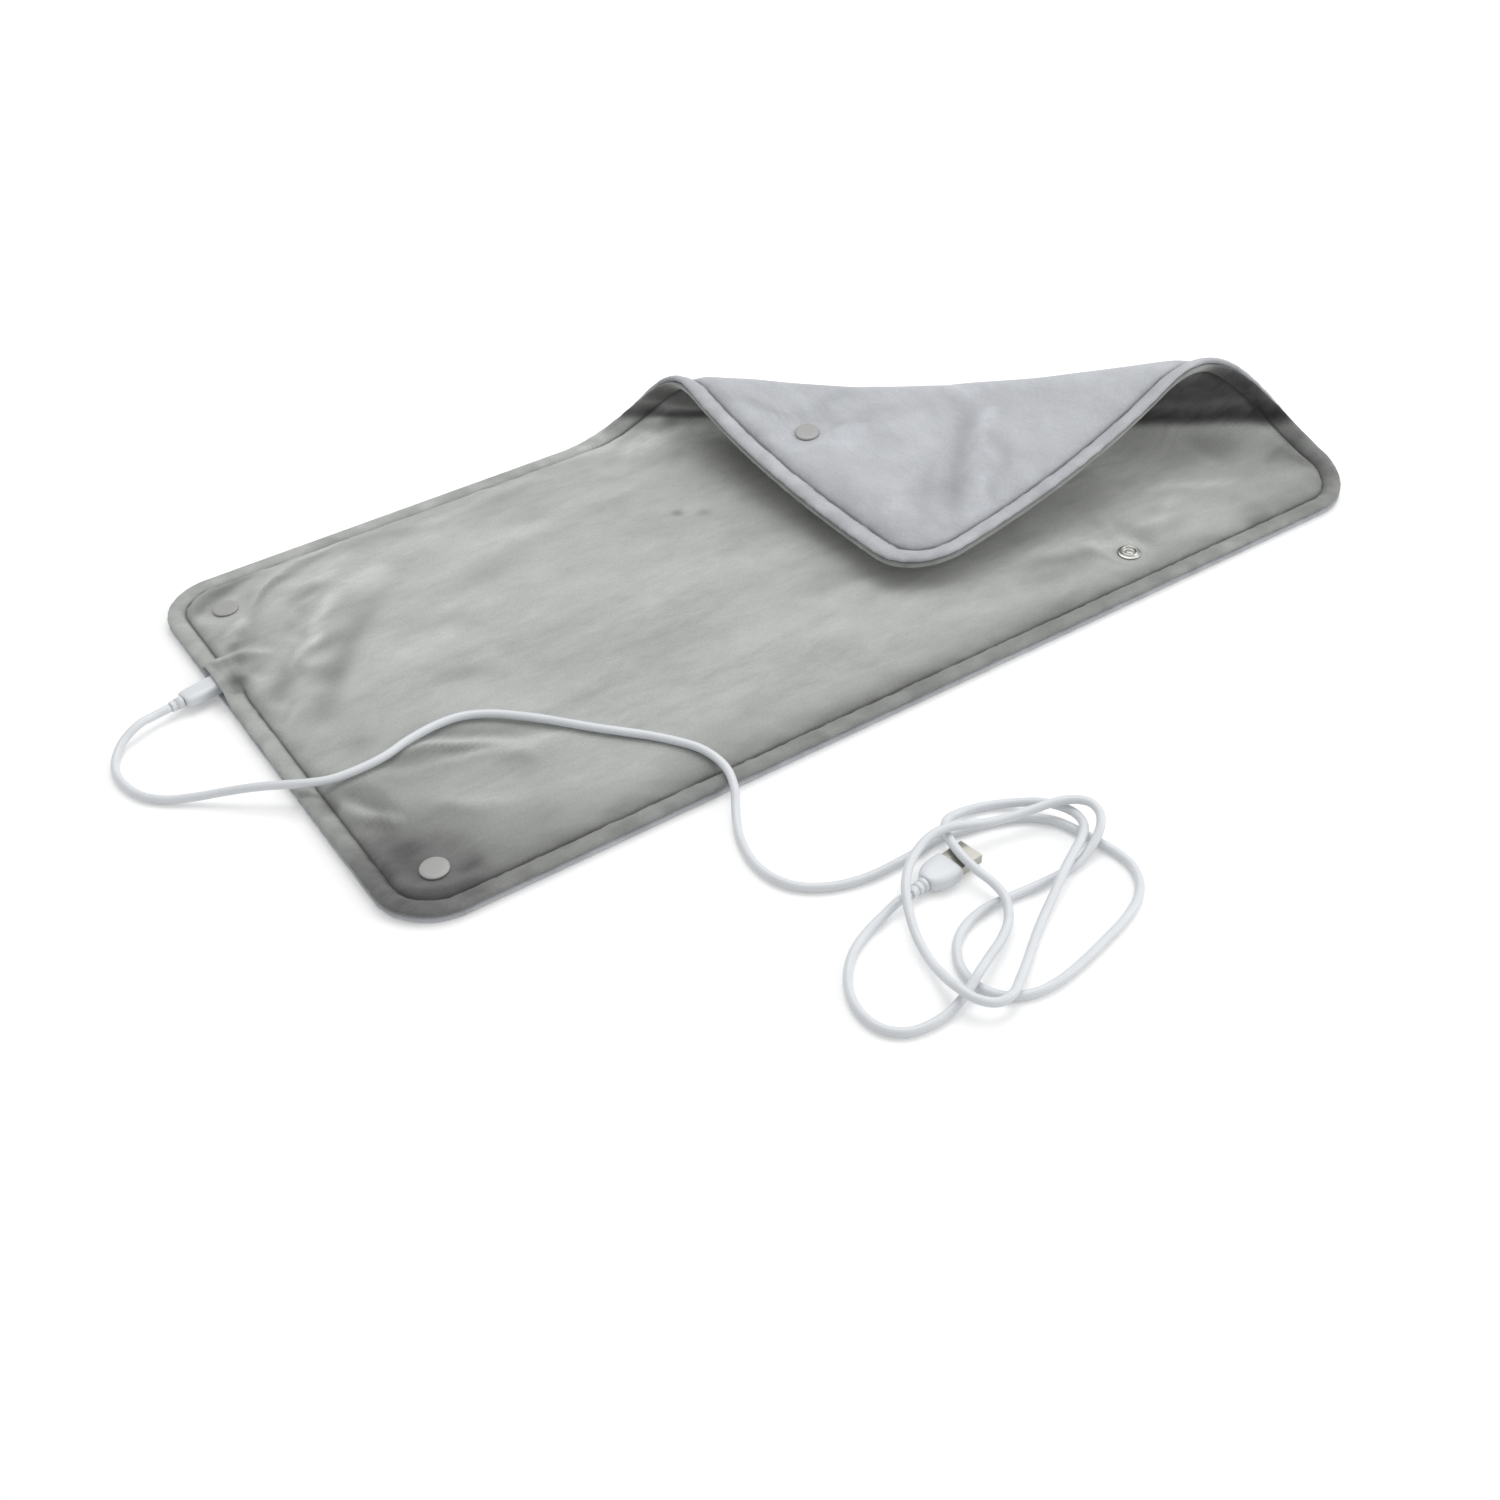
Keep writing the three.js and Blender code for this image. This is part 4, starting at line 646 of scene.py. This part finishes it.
def painted_shade_and_mottle(flat, side):
    """Painted shade: darker where the cloth's folds rise one way and lighter where they fall, strokes and
    spots of painted shade and highlight, a darker band of painted shade beside the groove, random mottle on
    the border, and painted shade and light in the loop on the front.
    """
    ahead, behind = flat + SLOPE_SHADE_WAY * SLOPE_SHADE_STEP, flat - SLOPE_SHADE_WAY * SLOPE_SHADE_STEP
    slope = wrinkles(behind, side) - wrinkles(ahead, side)
    painted_tone = np.clip(slope * SLOPE_SHADE_GAIN, SLOPE_SHADE_DARKEST, SLOPE_SHADE_BRIGHTEST)
    past = inset_of(flat) - STITCH_INSET
    rolled = 1 - ROLL_LOSS * smooth(-past, 0.5, 2.5)
    beside = np.where(past > 0, np.exp(-np.maximum(past, 0) / BESIDE_REACH), rolled)
    mottle = MOTTLE_TONE * wavy(flat, MOTTLE_SIZE, SEEDS["mottle"] + side)
    mottle = mottle + FLECK_TONE * wavy(flat, FLECK_SIZE, SEEDS["fleck"] + side)
    # strokes of painted shade in the creases and painted highlight on the crests
    for stroke in (FRONT_SHADE_STROKES if side > 0 else BACK_SHADE_STROKES):
        painted_tone = painted_tone + ridge(flat, *stroke)
    border = smooth(-past, 0, 2)
    if side < 0:
        return (BACK_SHADE_SHARE * painted_tone - BESIDE_BACK * beside + BACK_MOTTLE * mottle * border).astype(np.float32)
    front = smooth(-flat[:, 1], *FRONT_FROM)
    left = smooth(-flat[:, 0], *LEFT_FROM) * smooth(-flat[:, 1], *LEFT_BEFORE)
    # painted shade beside the groove, darker at the front and left edges
    painted_tone = painted_tone - (BESIDE_DARK + BESIDE_FRONT * front + BESIDE_LEFT * left) * beside
    # random mottle on the border, and the front border painted darker as painted shade
    painted_tone = painted_tone + (mottle - FRONT_DIM * front) * border
    # spots of painted shade
    for place, size, dark in SHADE_SPOTS:
        painted_tone = painted_tone - dark * np.exp(-(np.hypot(*(flat - place).T) / size) ** 2)
    return (painted_tone + painted_loop_shade(flat)).astype(np.float32)


SEAM_WIDTH = 0.6


def seam_line(flat):
    """One in the stitched groove, where the pile parts down to the thread, and none beside it."""
    past = inset_of(flat) - STITCH_INSET
    return (np.exp(-(past / SEAM_WIDTH) ** 2) * (1 - pocket_share(flat))).astype(np.float32)


# The covers
BESIDE_STITCH = np.array([-2.2, -1.3, -0.6, 0, 0.6, 1.3, 2.2])  # closer rows round each stop stitch
ROW_GAP = 0.7
CLOTH_STEP, CORNER_STEPS = 2.2, 22


def cloth_net():
    """The core grid's points and quads, and each ring point's core anchor and outward direction."""
    core_x, core_y = LENGTH / 2 - CORNER, WIDTH / 2 - CORNER
    columns = np.linspace(-core_x, core_x, int(2 * core_x / CLOTH_STEP) + 1)
    rows = np.linspace(-core_y, core_y, int(2 * core_y / CLOTH_STEP) + 1)
    near = np.concatenate([BESIDE_STITCH + place for place in STOP_STITCHES])
    rows = rows[np.abs(rows[:, None] - near).min(axis=1) > ROW_GAP]
    rows = np.sort(np.concatenate([rows, near]))
    grid, quads = flat_grid(columns, rows)
    # the outline's four corners, each with the direction and the points of the edge after it
    quarters = [
        ((core_x, -core_y), (1, 0), [(core_x, v) for v in rows[1:-1]]),
        ((core_x, core_y), (0, 1), [(u, core_y) for u in columns[-2:0:-1]]),
        ((-core_x, core_y), (-1, 0), [(-core_x, v) for v in rows[-2:0:-1]]),
        ((-core_x, -core_y), (0, -1), [(u, -core_y) for u in columns[1:-1]]),
    ]
    anchors, ways = [], []
    for quarter, (corner, out, edge) in enumerate(quarters):
        for turn in np.linspace(0, math.pi / 2, CORNER_STEPS + 1) + math.pi / 2 * (quarter - 1):
            anchors.append(corner)
            ways.append((math.cos(turn), math.sin(turn)))
        anchors += edge
        ways += [out] * len(edge)
    return grid, quads, np.array(anchors), np.array(ways, float)


# The cover's section: inset and height of each ring, from the core out to the edge and under to the seam
OUTER_RINGS = [26.5, 24, 21.5, 19.5, 17.5, 15.8, 14.3, 13, 12, 11.2, 10.6, 10.1, 9.7, 9.4, 9.2, 9.0, 8.7, 8.3,
               7.7, 6.9, 5.9, 4.9, 4.1, 3.4]
LOBE_TURNS = [104, 118, 132, 146, 160, 174, 188, 202, 216, 230, 246, 262]
TUCK_INSETS = [5, 7.5, 11, 15]
STITCH_WANDER, GROOVE_UNEVEN, EDGE_FUZZ, TUCK_LIFT = 0.2, 0.25, 0.14, 0.02
GROOVE_WIDTH, ROLL_POWER = 1.7, 2.3  # how soon the cloth rises from the groove, and how round the roll is
STOP_WIDTH, STOP_DEPTH = 0.8, 1.5  # a stop stitch's pull in the pocket's edge
FLAT_SHARE, FLAT_TO = 0.25, 50  # how much of the back's folds stay where it lies on the table


def section(flat, side):
    """The cloth's height over the middle layer, inside the border's outermost line."""
    inset = inset_of(flat)
    past = inset - STITCH_INSET + STITCH_WANDER * wavy(flat, 12, SEEDS["groove"] + side)
    depth = GROOVE + GROOVE_UNEVEN * wavy(flat, 6, SEEDS["depth"] + side)
    inside = np.maximum(past, 0)
    pillow = PILLOW_HALF + PILLOW_RISE * (1 - np.exp(-inside / PILLOW_REACH))
    pillow = mix(depth, pillow, 1 - np.exp(-inside / GROOVE_WIDTH))
    rolled = np.clip(-past / (STITCH_INSET - ROLL_PLACE), 0, 1)
    rolled = mix(depth, ROLL_TOP, 1 - (1 - rolled) ** ROLL_POWER)
    plain = np.where(past > 0, pillow, rolled)
    for stop in STOP_STITCHES if side > 0 else ():
        pull = np.exp(-np.abs((flat[:, 1] - stop) / STOP_WIDTH) ** 1.5)
        plain = plain - STOP_DEPTH * pull * (past < 0.5) * (flat[:, 0] < 0) * (inset > 1)
    height = mix(mix(plain, POCKET_HALF, pocket_share(flat)), SNAP_PINCH, snap_share(flat))
    lift = wrinkles(flat, side)
    if side < 0:
        lift = lift * mix(FLAT_SHARE, 1, smooth(flat @ WAY, FOLD_OFFSET, FOLD_OFFSET + FLAT_TO))
    return height + lift


def cover_net(side):
    """Flat points, heights over the middle layer, quads and corner triangles of one cover."""
    grid, quads, anchors, ways = cloth_net()
    count = len(anchors)
    flats = [grid] + [anchors + ways * (CORNER - inset) for inset in OUTER_RINGS]
    heights = [section(flat, side) for flat in flats]
    edge_flat = anchors + ways * CORNER
    share = pocket_share(edge_flat)
    fuzz = EDGE_FUZZ * wavy(edge_flat, 6, SEEDS["edge"] + side)
    lobe_height = mix(ROLL_TOP / 2, LIP_HALF, share)
    lift = mix(0, POCKET_HALF - 2 * LIP_HALF, share)
    for turn in LOBE_TURNS:
        across, up = math.cos(math.radians(turn)), math.sin(math.radians(turn))
        inset = ROLL_PLACE * (1 + across) + fuzz * (across < 0)
        flats.append(anchors + ways * (CORNER - inset)[:, None])
        heights.append(lift + lobe_height * (1 + up) + fuzz * 0.4)
    for inset in TUCK_INSETS:
        flats.append(anchors + ways * (CORNER - inset))
        heights.append(lift + TUCK_LIFT)
    # the core's own edge points take the place of the ring at inset CORNER
    key = {tuple(np.round(place, 3)): i for i, place in enumerate(grid)}
    core = np.array([key[tuple(np.round(place, 3))] for place in anchors])
    following = np.roll(np.arange(count), -1)
    previous, strips = core, []
    for ring in range(len(flats) - 1):
        now = len(grid) + ring * count + np.arange(count)
        strip = np.stack([previous, now, now[following], previous[following]], -1)
        if ring >= len(flats) - 1 - len(TUCK_INSETS):
            strip = strip[(share > 0.02) | (share[following] > 0.02)]
        strips.append(strip[strip[:, 0] != strip[:, 3]])
        previous = now
    # where a corner's points share one anchor, the first ring joins it by triangles
    first = len(grid) + np.arange(count)
    fans = [(core[i], first[i], first[following[i]]) for i in range(count) if core[i] == core[following[i]]]
    net = np.concatenate([quads, *strips])
    if side < 0:
        net = net[:, ::-1]
        fans = [fan[::-1] for fan in fans]
    return np.concatenate(flats), side * np.concatenate(heights), net, fans


def cover(side, material):
    """Both pieces of one cover: the flat part on the pad's body, and the corner, made in its folded place."""
    flat, height, net, fans = cover_net(side)
    places = folded(flat, height)
    places[:, 2] = np.maximum(places[:, 2], FLOOR_GAP)
    normals = vertex_normals(places, np.concatenate([net, [(a, b, c, c) for a, b, c in fans]]))
    past = flat @ WAY - loop_law(flat @ CREASE)[0]
    # painted shade and highlight, with random mottle, stored for the material
    shade_and_mottle = painted_shade_and_mottle(flat, side)
    word = "front" if side > 0 else "back"
    faces = [tuple(quad) for quad in net] + fans
    middle = np.array([past[list(face)].mean() for face in faces])
    for ending, keep, node in (("", middle < CORNER_START, ""), ("_corner", middle >= CORNER_START, "_flap")):
        kept = [face for face, wanted in zip(faces, keep) if wanted]
        used = np.unique(np.concatenate([np.array(face) for face in kept]))
        number = np.full(len(flat), -1)
        number[used] = np.arange(len(used))
        obj = make_mesh(f"{word}_cloth{ending}", places[used], [[number[i] for i in face] for face in kept],
                        flat[used] * MM, normals[used])
        for attribute, values in (("shade_and_mottle", shade_and_mottle[used]), ("seam", seam_line(flat[used]))):
            obj.data.attributes.new(attribute, "FLOAT", "POINT").data.foreach_set("value", values)
        obj.data.materials.append(material)
        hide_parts(f"{word}_cover{node}")
        if ending:
            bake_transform(obj)
        else:
            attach(obj, "pad")


# Both covers, each cut in two a little before the loop starts
cover(1, FRONT)
cover(-1, BACK)


# The layers inside: soft sheets that stop short of the hinge, so that none shows through the bent covers
LAYER_INSET, LAYER_CELL = 52, 7
HINGE_TURN, HINGE_SPACE = math.pi / 2, 14
CUT_TRIES = 8
LAYERS = {"front_wadding": (1.5, 3.1), "wire_carrier": (-0.8, -0.2), "back_wadding": (-3.0, -1.2)}


def inner_layer(name, node, low, high, side):
    """A closed sheet between two heights over the middle layer, on one side of the hinge."""
    half_x, half_y = LENGTH / 2 - LAYER_INSET, WIDTH / 2 - LAYER_INSET
    columns = np.linspace(-half_x, half_x, int(2 * half_x / LAYER_CELL))
    rows = np.linspace(-half_y, half_y, int(2 * half_y / LAYER_CELL))
    flat, quads = flat_grid(columns, rows)

    def shortfall(flat):
        start, radius = loop_law(flat @ CREASE)
        return HINGE_SPACE - side * (flat @ WAY - start - HINGE_TURN * radius)

    quads = quads[(shortfall(flat)[quads] < 0).any(axis=1)]
    for _ in range(CUT_TRIES):
        flat[:, 0] += side * np.maximum(shortfall(flat), 0) / WAY[0]
    used, quads = np.unique(quads, return_inverse=True)
    quads = quads.reshape(-1, 4)
    flat, count = flat[used], len(used)
    places = np.concatenate([folded(flat, np.full(count, float(height))) for height in (high, low)])
    faces = [tuple(quad) for quad in quads] + [tuple(quad[::-1] + count) for quad in quads]
    edges = {(quad[k], quad[(k + 1) % 4]) for quad in quads for k in range(4)}
    faces += [(a, a + count, b + count, b) for a, b in sorted(edges) if (b, a) not in edges]
    piece = make_mesh(name, places, faces, np.concatenate([flat, flat]) * MM)
    dress(piece, FELT, "pad" if side < 0 else "folded_corner", "felt", node)


for layer, (low, high) in LAYERS.items():
    inner_layer(f"{layer}_sheet", layer, low, high, -1)
    inner_layer(f"{layer}_corner", f"{layer}_flap", low, high, 1)


# Snaps
def turned(name, profile, centre, normal, sides=48):
    """A lathe piece with its axis along a normal."""
    spin = Vector((0, 0, 1)).rotation_difference(Vector(normal)).to_matrix()
    angles = np.linspace(0, 2 * np.pi, sides, endpoint=False)
    rings = [np.column_stack([radius * np.cos(angles), radius * np.sin(angles), np.full(sides, z)])
             for radius, z in profile if radius > 0]
    places = np.concatenate([*rings, [(0, 0, profile[0][1]), (0, 0, profile[-1][1])]])
    places = places @ np.array(spin).T + np.array(centre)
    return make_mesh(name, places, skin(len(rings), sides))


def seat(flat, side, height):
    """Centre and outward normal of the cloth under a snap."""
    around = np.array([flat, (flat[0] + 1, flat[1]), (flat[0], flat[1] + 1)], float)
    place, ahead, beside = folded(around, np.full(3, side * height))
    normal = np.cross(ahead - place, beside - place) * side
    return place, normal / np.linalg.norm(normal)


SNAP_STYLES = {
    "cap": [(0, 0), (5.5, 0), (6.35, 0.05), (6.6, 0.35), (6.6, 0.6), (6.45, 0.85), (6.1, 1.02), (5.5, 1.1),
            (3.2, 1.14), (0, 1.16)],
    "socket": [(0, 0), (5.6, 0), (5.95, 0.15), (5.9, 0.45), (5.5, 0.6), (4.9, 0.66), (4.5, 1.0), (4.35, 1.5),
               (4.1, 1.72), (3.7, 1.74), (3.35, 1.55), (3.2, 1.1), (3.1, 0.6), (2.4, 0.5), (1.9, 0.55),
               (1.75, 0.9), (1.5, 1.1), (1.0, 1.16), (0, 1.12)],
    "stud": [(0, 0), (5.5, 0), (5.9, 0.15), (5.85, 0.4), (5.3, 0.55), (2.9, 0.6), (2.3, 0.7), (2.25, 0.9),
             (2.35, 1.15), (2.1, 1.36), (1.6, 1.4), (0, 1.4)],
}
SNAP_LIFT = 0.15
for spot, above, below in (("front_left", "cap", "stud"), ("back_left", "cap", "stud"),
                           ("front_right", "socket", "cap"), ("back_right", "socket", "cap")):
    body = "folded_corner" if spot == "back_right" else "pad"
    for kind, side in ((above, 1), (below, -1)):
        centre, normal = seat(SNAPS[spot], side, SNAP_PINCH)
        piece = turned(f"{kind}_{spot}", SNAP_STYLES[kind], centre + normal * SNAP_LIFT, normal)
        material, slot = (BRIGHT, "steel") if kind == "socket" else (SNAP, "snap_grey")
        dress(piece, material, body, slot, f"snap_{kind}_{spot}")


# Plugs
def loft(name, node, origin, turn, sections, sides=40):
    """A plug's closed skin over sections (x, half width, half height, squareness)."""
    angles = np.linspace(0, 2 * np.pi, sides, endpoint=False)
    cos, sin = np.cos(angles), np.sin(angles)
    places = []
    for x, half_width, half_height, power in sections:
        y = half_width * np.sign(cos) * np.abs(cos) ** (2 / power)
        z = half_height * np.sign(sin) * np.abs(sin) ** (2 / power)
        places.append(np.stack([np.full(sides, x), y, z], 1))
    places.append(np.array([(sections[0][0], 0, 0), (sections[-1][0], 0, 0)]))
    faces = [face[::-1] for face in skin(len(sections), sides)]
    spin = np.array([[math.cos(turn), -math.sin(turn), 0], [math.sin(turn), math.cos(turn), 0], [0, 0, 1]])
    piece = make_mesh(name, np.concatenate(places) @ spin.T + np.array(origin), faces)
    return dress(piece, WHITE, "lead", "white_plastic", node)


grip = loft("pad_plug_grip", "plug_grip", MOUTH, PLUG_TILT, [
    (-17, 3.2, 2.2, 2.4), (-16.9, 4.4, 2.8, 2.6), (-16.4, 5.0, 3.05, 2.8), (-15, 5.45, 3.2, 3.0),
    (-10, 5.75, 3.3, 3.2), (0, 5.8, 3.3, 3.4), (9, 5.8, 3.3, 3.4), (11, 5.6, 3.15, 3.4),
    (11.6, 5.0, 2.7, 3.2), (11.7, 4.2, 2.0, 3),
])
neck = loft("pad_plug_neck", "plug_neck", MOUTH, PLUG_TILT, [
    (-23.8, 2.1, 2.1, 2), (-23.7, 2.4, 2.4, 2), (-23.3, 2.6, 2.6, 2), (-21.6, 2.75, 2.7, 2),
    (-21.5, 2.35, 2.3, 2), (-20.9, 2.35, 2.3, 2), (-20.8, 2.85, 2.75, 2), (-17.9, 3.0, 2.9, 2),
    (-17.4, 2.9, 2.8, 2), (-17.3, 2.4, 2.2, 2),
])
usb_grip = loft("usb_plug_grip", "usb_grip", USB_PLACE, USB_TURN, [
    (9.0, 3.4, 2.6, 2.4), (9.15, 4.2, 3.1, 2.6), (9.8, 4.9, 3.4, 2.8), (11.5, 6.1, 3.6, 3.0),
    (14, 7.1, 3.75, 3.3), (16.5, 7.55, 3.85, 3.6), (20, 7.65, 3.9, 3.8), (22.8, 7.65, 3.9, 3.8),
    (23.6, 7.45, 3.75, 3.8), (23.95, 7.0, 3.4, 3.6), (24, 6.2, 2.8, 3.6),
])
usb_neck = loft("usb_plug_neck", "usb_neck", USB_PLACE, USB_TURN, [
    (0, 2.15, 2.15, 2), (0.15, 2.45, 2.45, 2), (0.8, 2.6, 2.6, 2), (2.6, 2.7, 2.7, 2), (2.75, 2.4, 2.4, 2),
    (3.5, 2.4, 2.4, 2), (3.65, 2.8, 2.75, 2), (5.6, 2.9, 2.85, 2), (5.75, 2.5, 2.45, 2), (6.4, 2.5, 2.45, 2),
    (6.55, 3.0, 2.9, 2), (8.3, 3.1, 3.0, 2), (8.6, 2.9, 2.8, 2),
])

# The carried-over CAD parts get fuller materials
CARRIED = {
    RED: ["heating_wire_out", "heating_wire_flap", "heating_wire_back", "supply_lead"],
    PALE: ["return_lead", "cutout_lead", "thermal_cutout"],
    BLACK: ["socket_housing", "socket_tongue"],
    STEEL: ["socket_shell", "plug_shell", "usb_shell"],
    BLUE: ["usb_tongue"],
    BRASS: [f"usb_contact_{number}" for number in (1, 2, 3, 4)],
}
for material, names in CARRIED.items():
    for name in names:
        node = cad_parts[name]
        node.data.materials.clear()
        node.data.materials.append(material)


# Floor, light and background. The distances at which the floor turns white are in metres
FLOOR_HALF, FLOOR_LEVEL = 6000, -0.3
FLOOR_COLOUR, FLOOR_GLOW = (0.9, 0.9, 0.9, 1), 0.2
WHITE_FROM, WHITE_TO = 0.7, 3.0
WORLD_LIGHT = 0.58


def seen_ray(tree):
    """One for the rays that see the background: camera, glossy and clear ones."""
    ray = tree.nodes.new("ShaderNodeLightPath").outputs
    total = ray["Is Camera Ray"]
    for kind in ("Is Glossy Ray", "Is Transmission Ray"):
        node = tree.nodes.new("ShaderNodeMath")
        node.operation = "MAXIMUM"
        tree.links.new(total, node.inputs[0])
        tree.links.new(ray[kind], node.inputs[1])
        total = node.outputs["Value"]
    return total


def camera_white(name, colour, share):
    """A matte floor that those rays see a little lighter near the object, and white far from it."""
    n = Nodes(name)
    away = n.add("VectorMath", {"operation": "LENGTH"})
    n.set(away, "0", n.add("TexCoord").outputs["Object"])
    far = n.add("MapRange", Value=away.outputs["Value"], From_Min=WHITE_FROM, From_Max=WHITE_TO)
    far = far.outputs["Result"]
    strength = n.maths("ADD", n.maths("MULTIPLY", far, 1 - share), share)
    n.surface(Base_Color=colour, Roughness=0.95, Specular_IOR_Level=0.0, Emission_Color=(1, 1, 1, 1),
              Emission_Strength=n.maths("MULTIPLY", seen_ray(n.tree), strength))
    return n.material


corners = [(x * FLOOR_HALF, y * FLOOR_HALF, FLOOR_LEVEL) for x, y in ((-1, -1), (1, -1), (1, 1), (-1, 1))]
floor = make_mesh("floor", corners, [(0, 1, 2, 3)])
floor.data.materials.append(camera_white("floor", FLOOR_COLOUR, FLOOR_GLOW))


def soft_light(name, place, aim, size, power):
    lamp = bpy.data.lights.new(name, "AREA")
    lamp.shape = "SQUARE"
    lamp.size = size
    lamp.energy = power
    obj = bpy.data.objects.new(name, lamp)
    obj.location = place
    obj.rotation_euler = (Vector(aim) - Vector(place)).to_track_quat("-Z", "Y").to_euler()
    bpy.context.scene.collection.objects.link(obj)


soft_light("key", place=(0.5, 0.5, 2.0), aim=(0, 0, 0), size=1.6, power=20)
soft_light("fill", place=(1.6, -1.1, 1.0), aim=(0.1, 0, 0), size=1.3, power=14)

world = bpy.data.worlds.new("world")
bpy.context.scene.world = world
world.use_nodes = True
background = world.node_tree.nodes["Background"]
background.inputs["Color"].default_value = (1, 1, 1, 1)
lift = world.node_tree.nodes.new("ShaderNodeMapRange")
lift.inputs["To Min"].default_value = WORLD_LIGHT
lift.inputs["To Max"].default_value = 1.0
world.node_tree.links.new(seen_ray(world.node_tree), lift.inputs["Value"])
world.node_tree.links.new(lift.outputs["Result"], background.inputs["Strength"])
bpy.context.scene.view_settings.view_transform = "Standard"
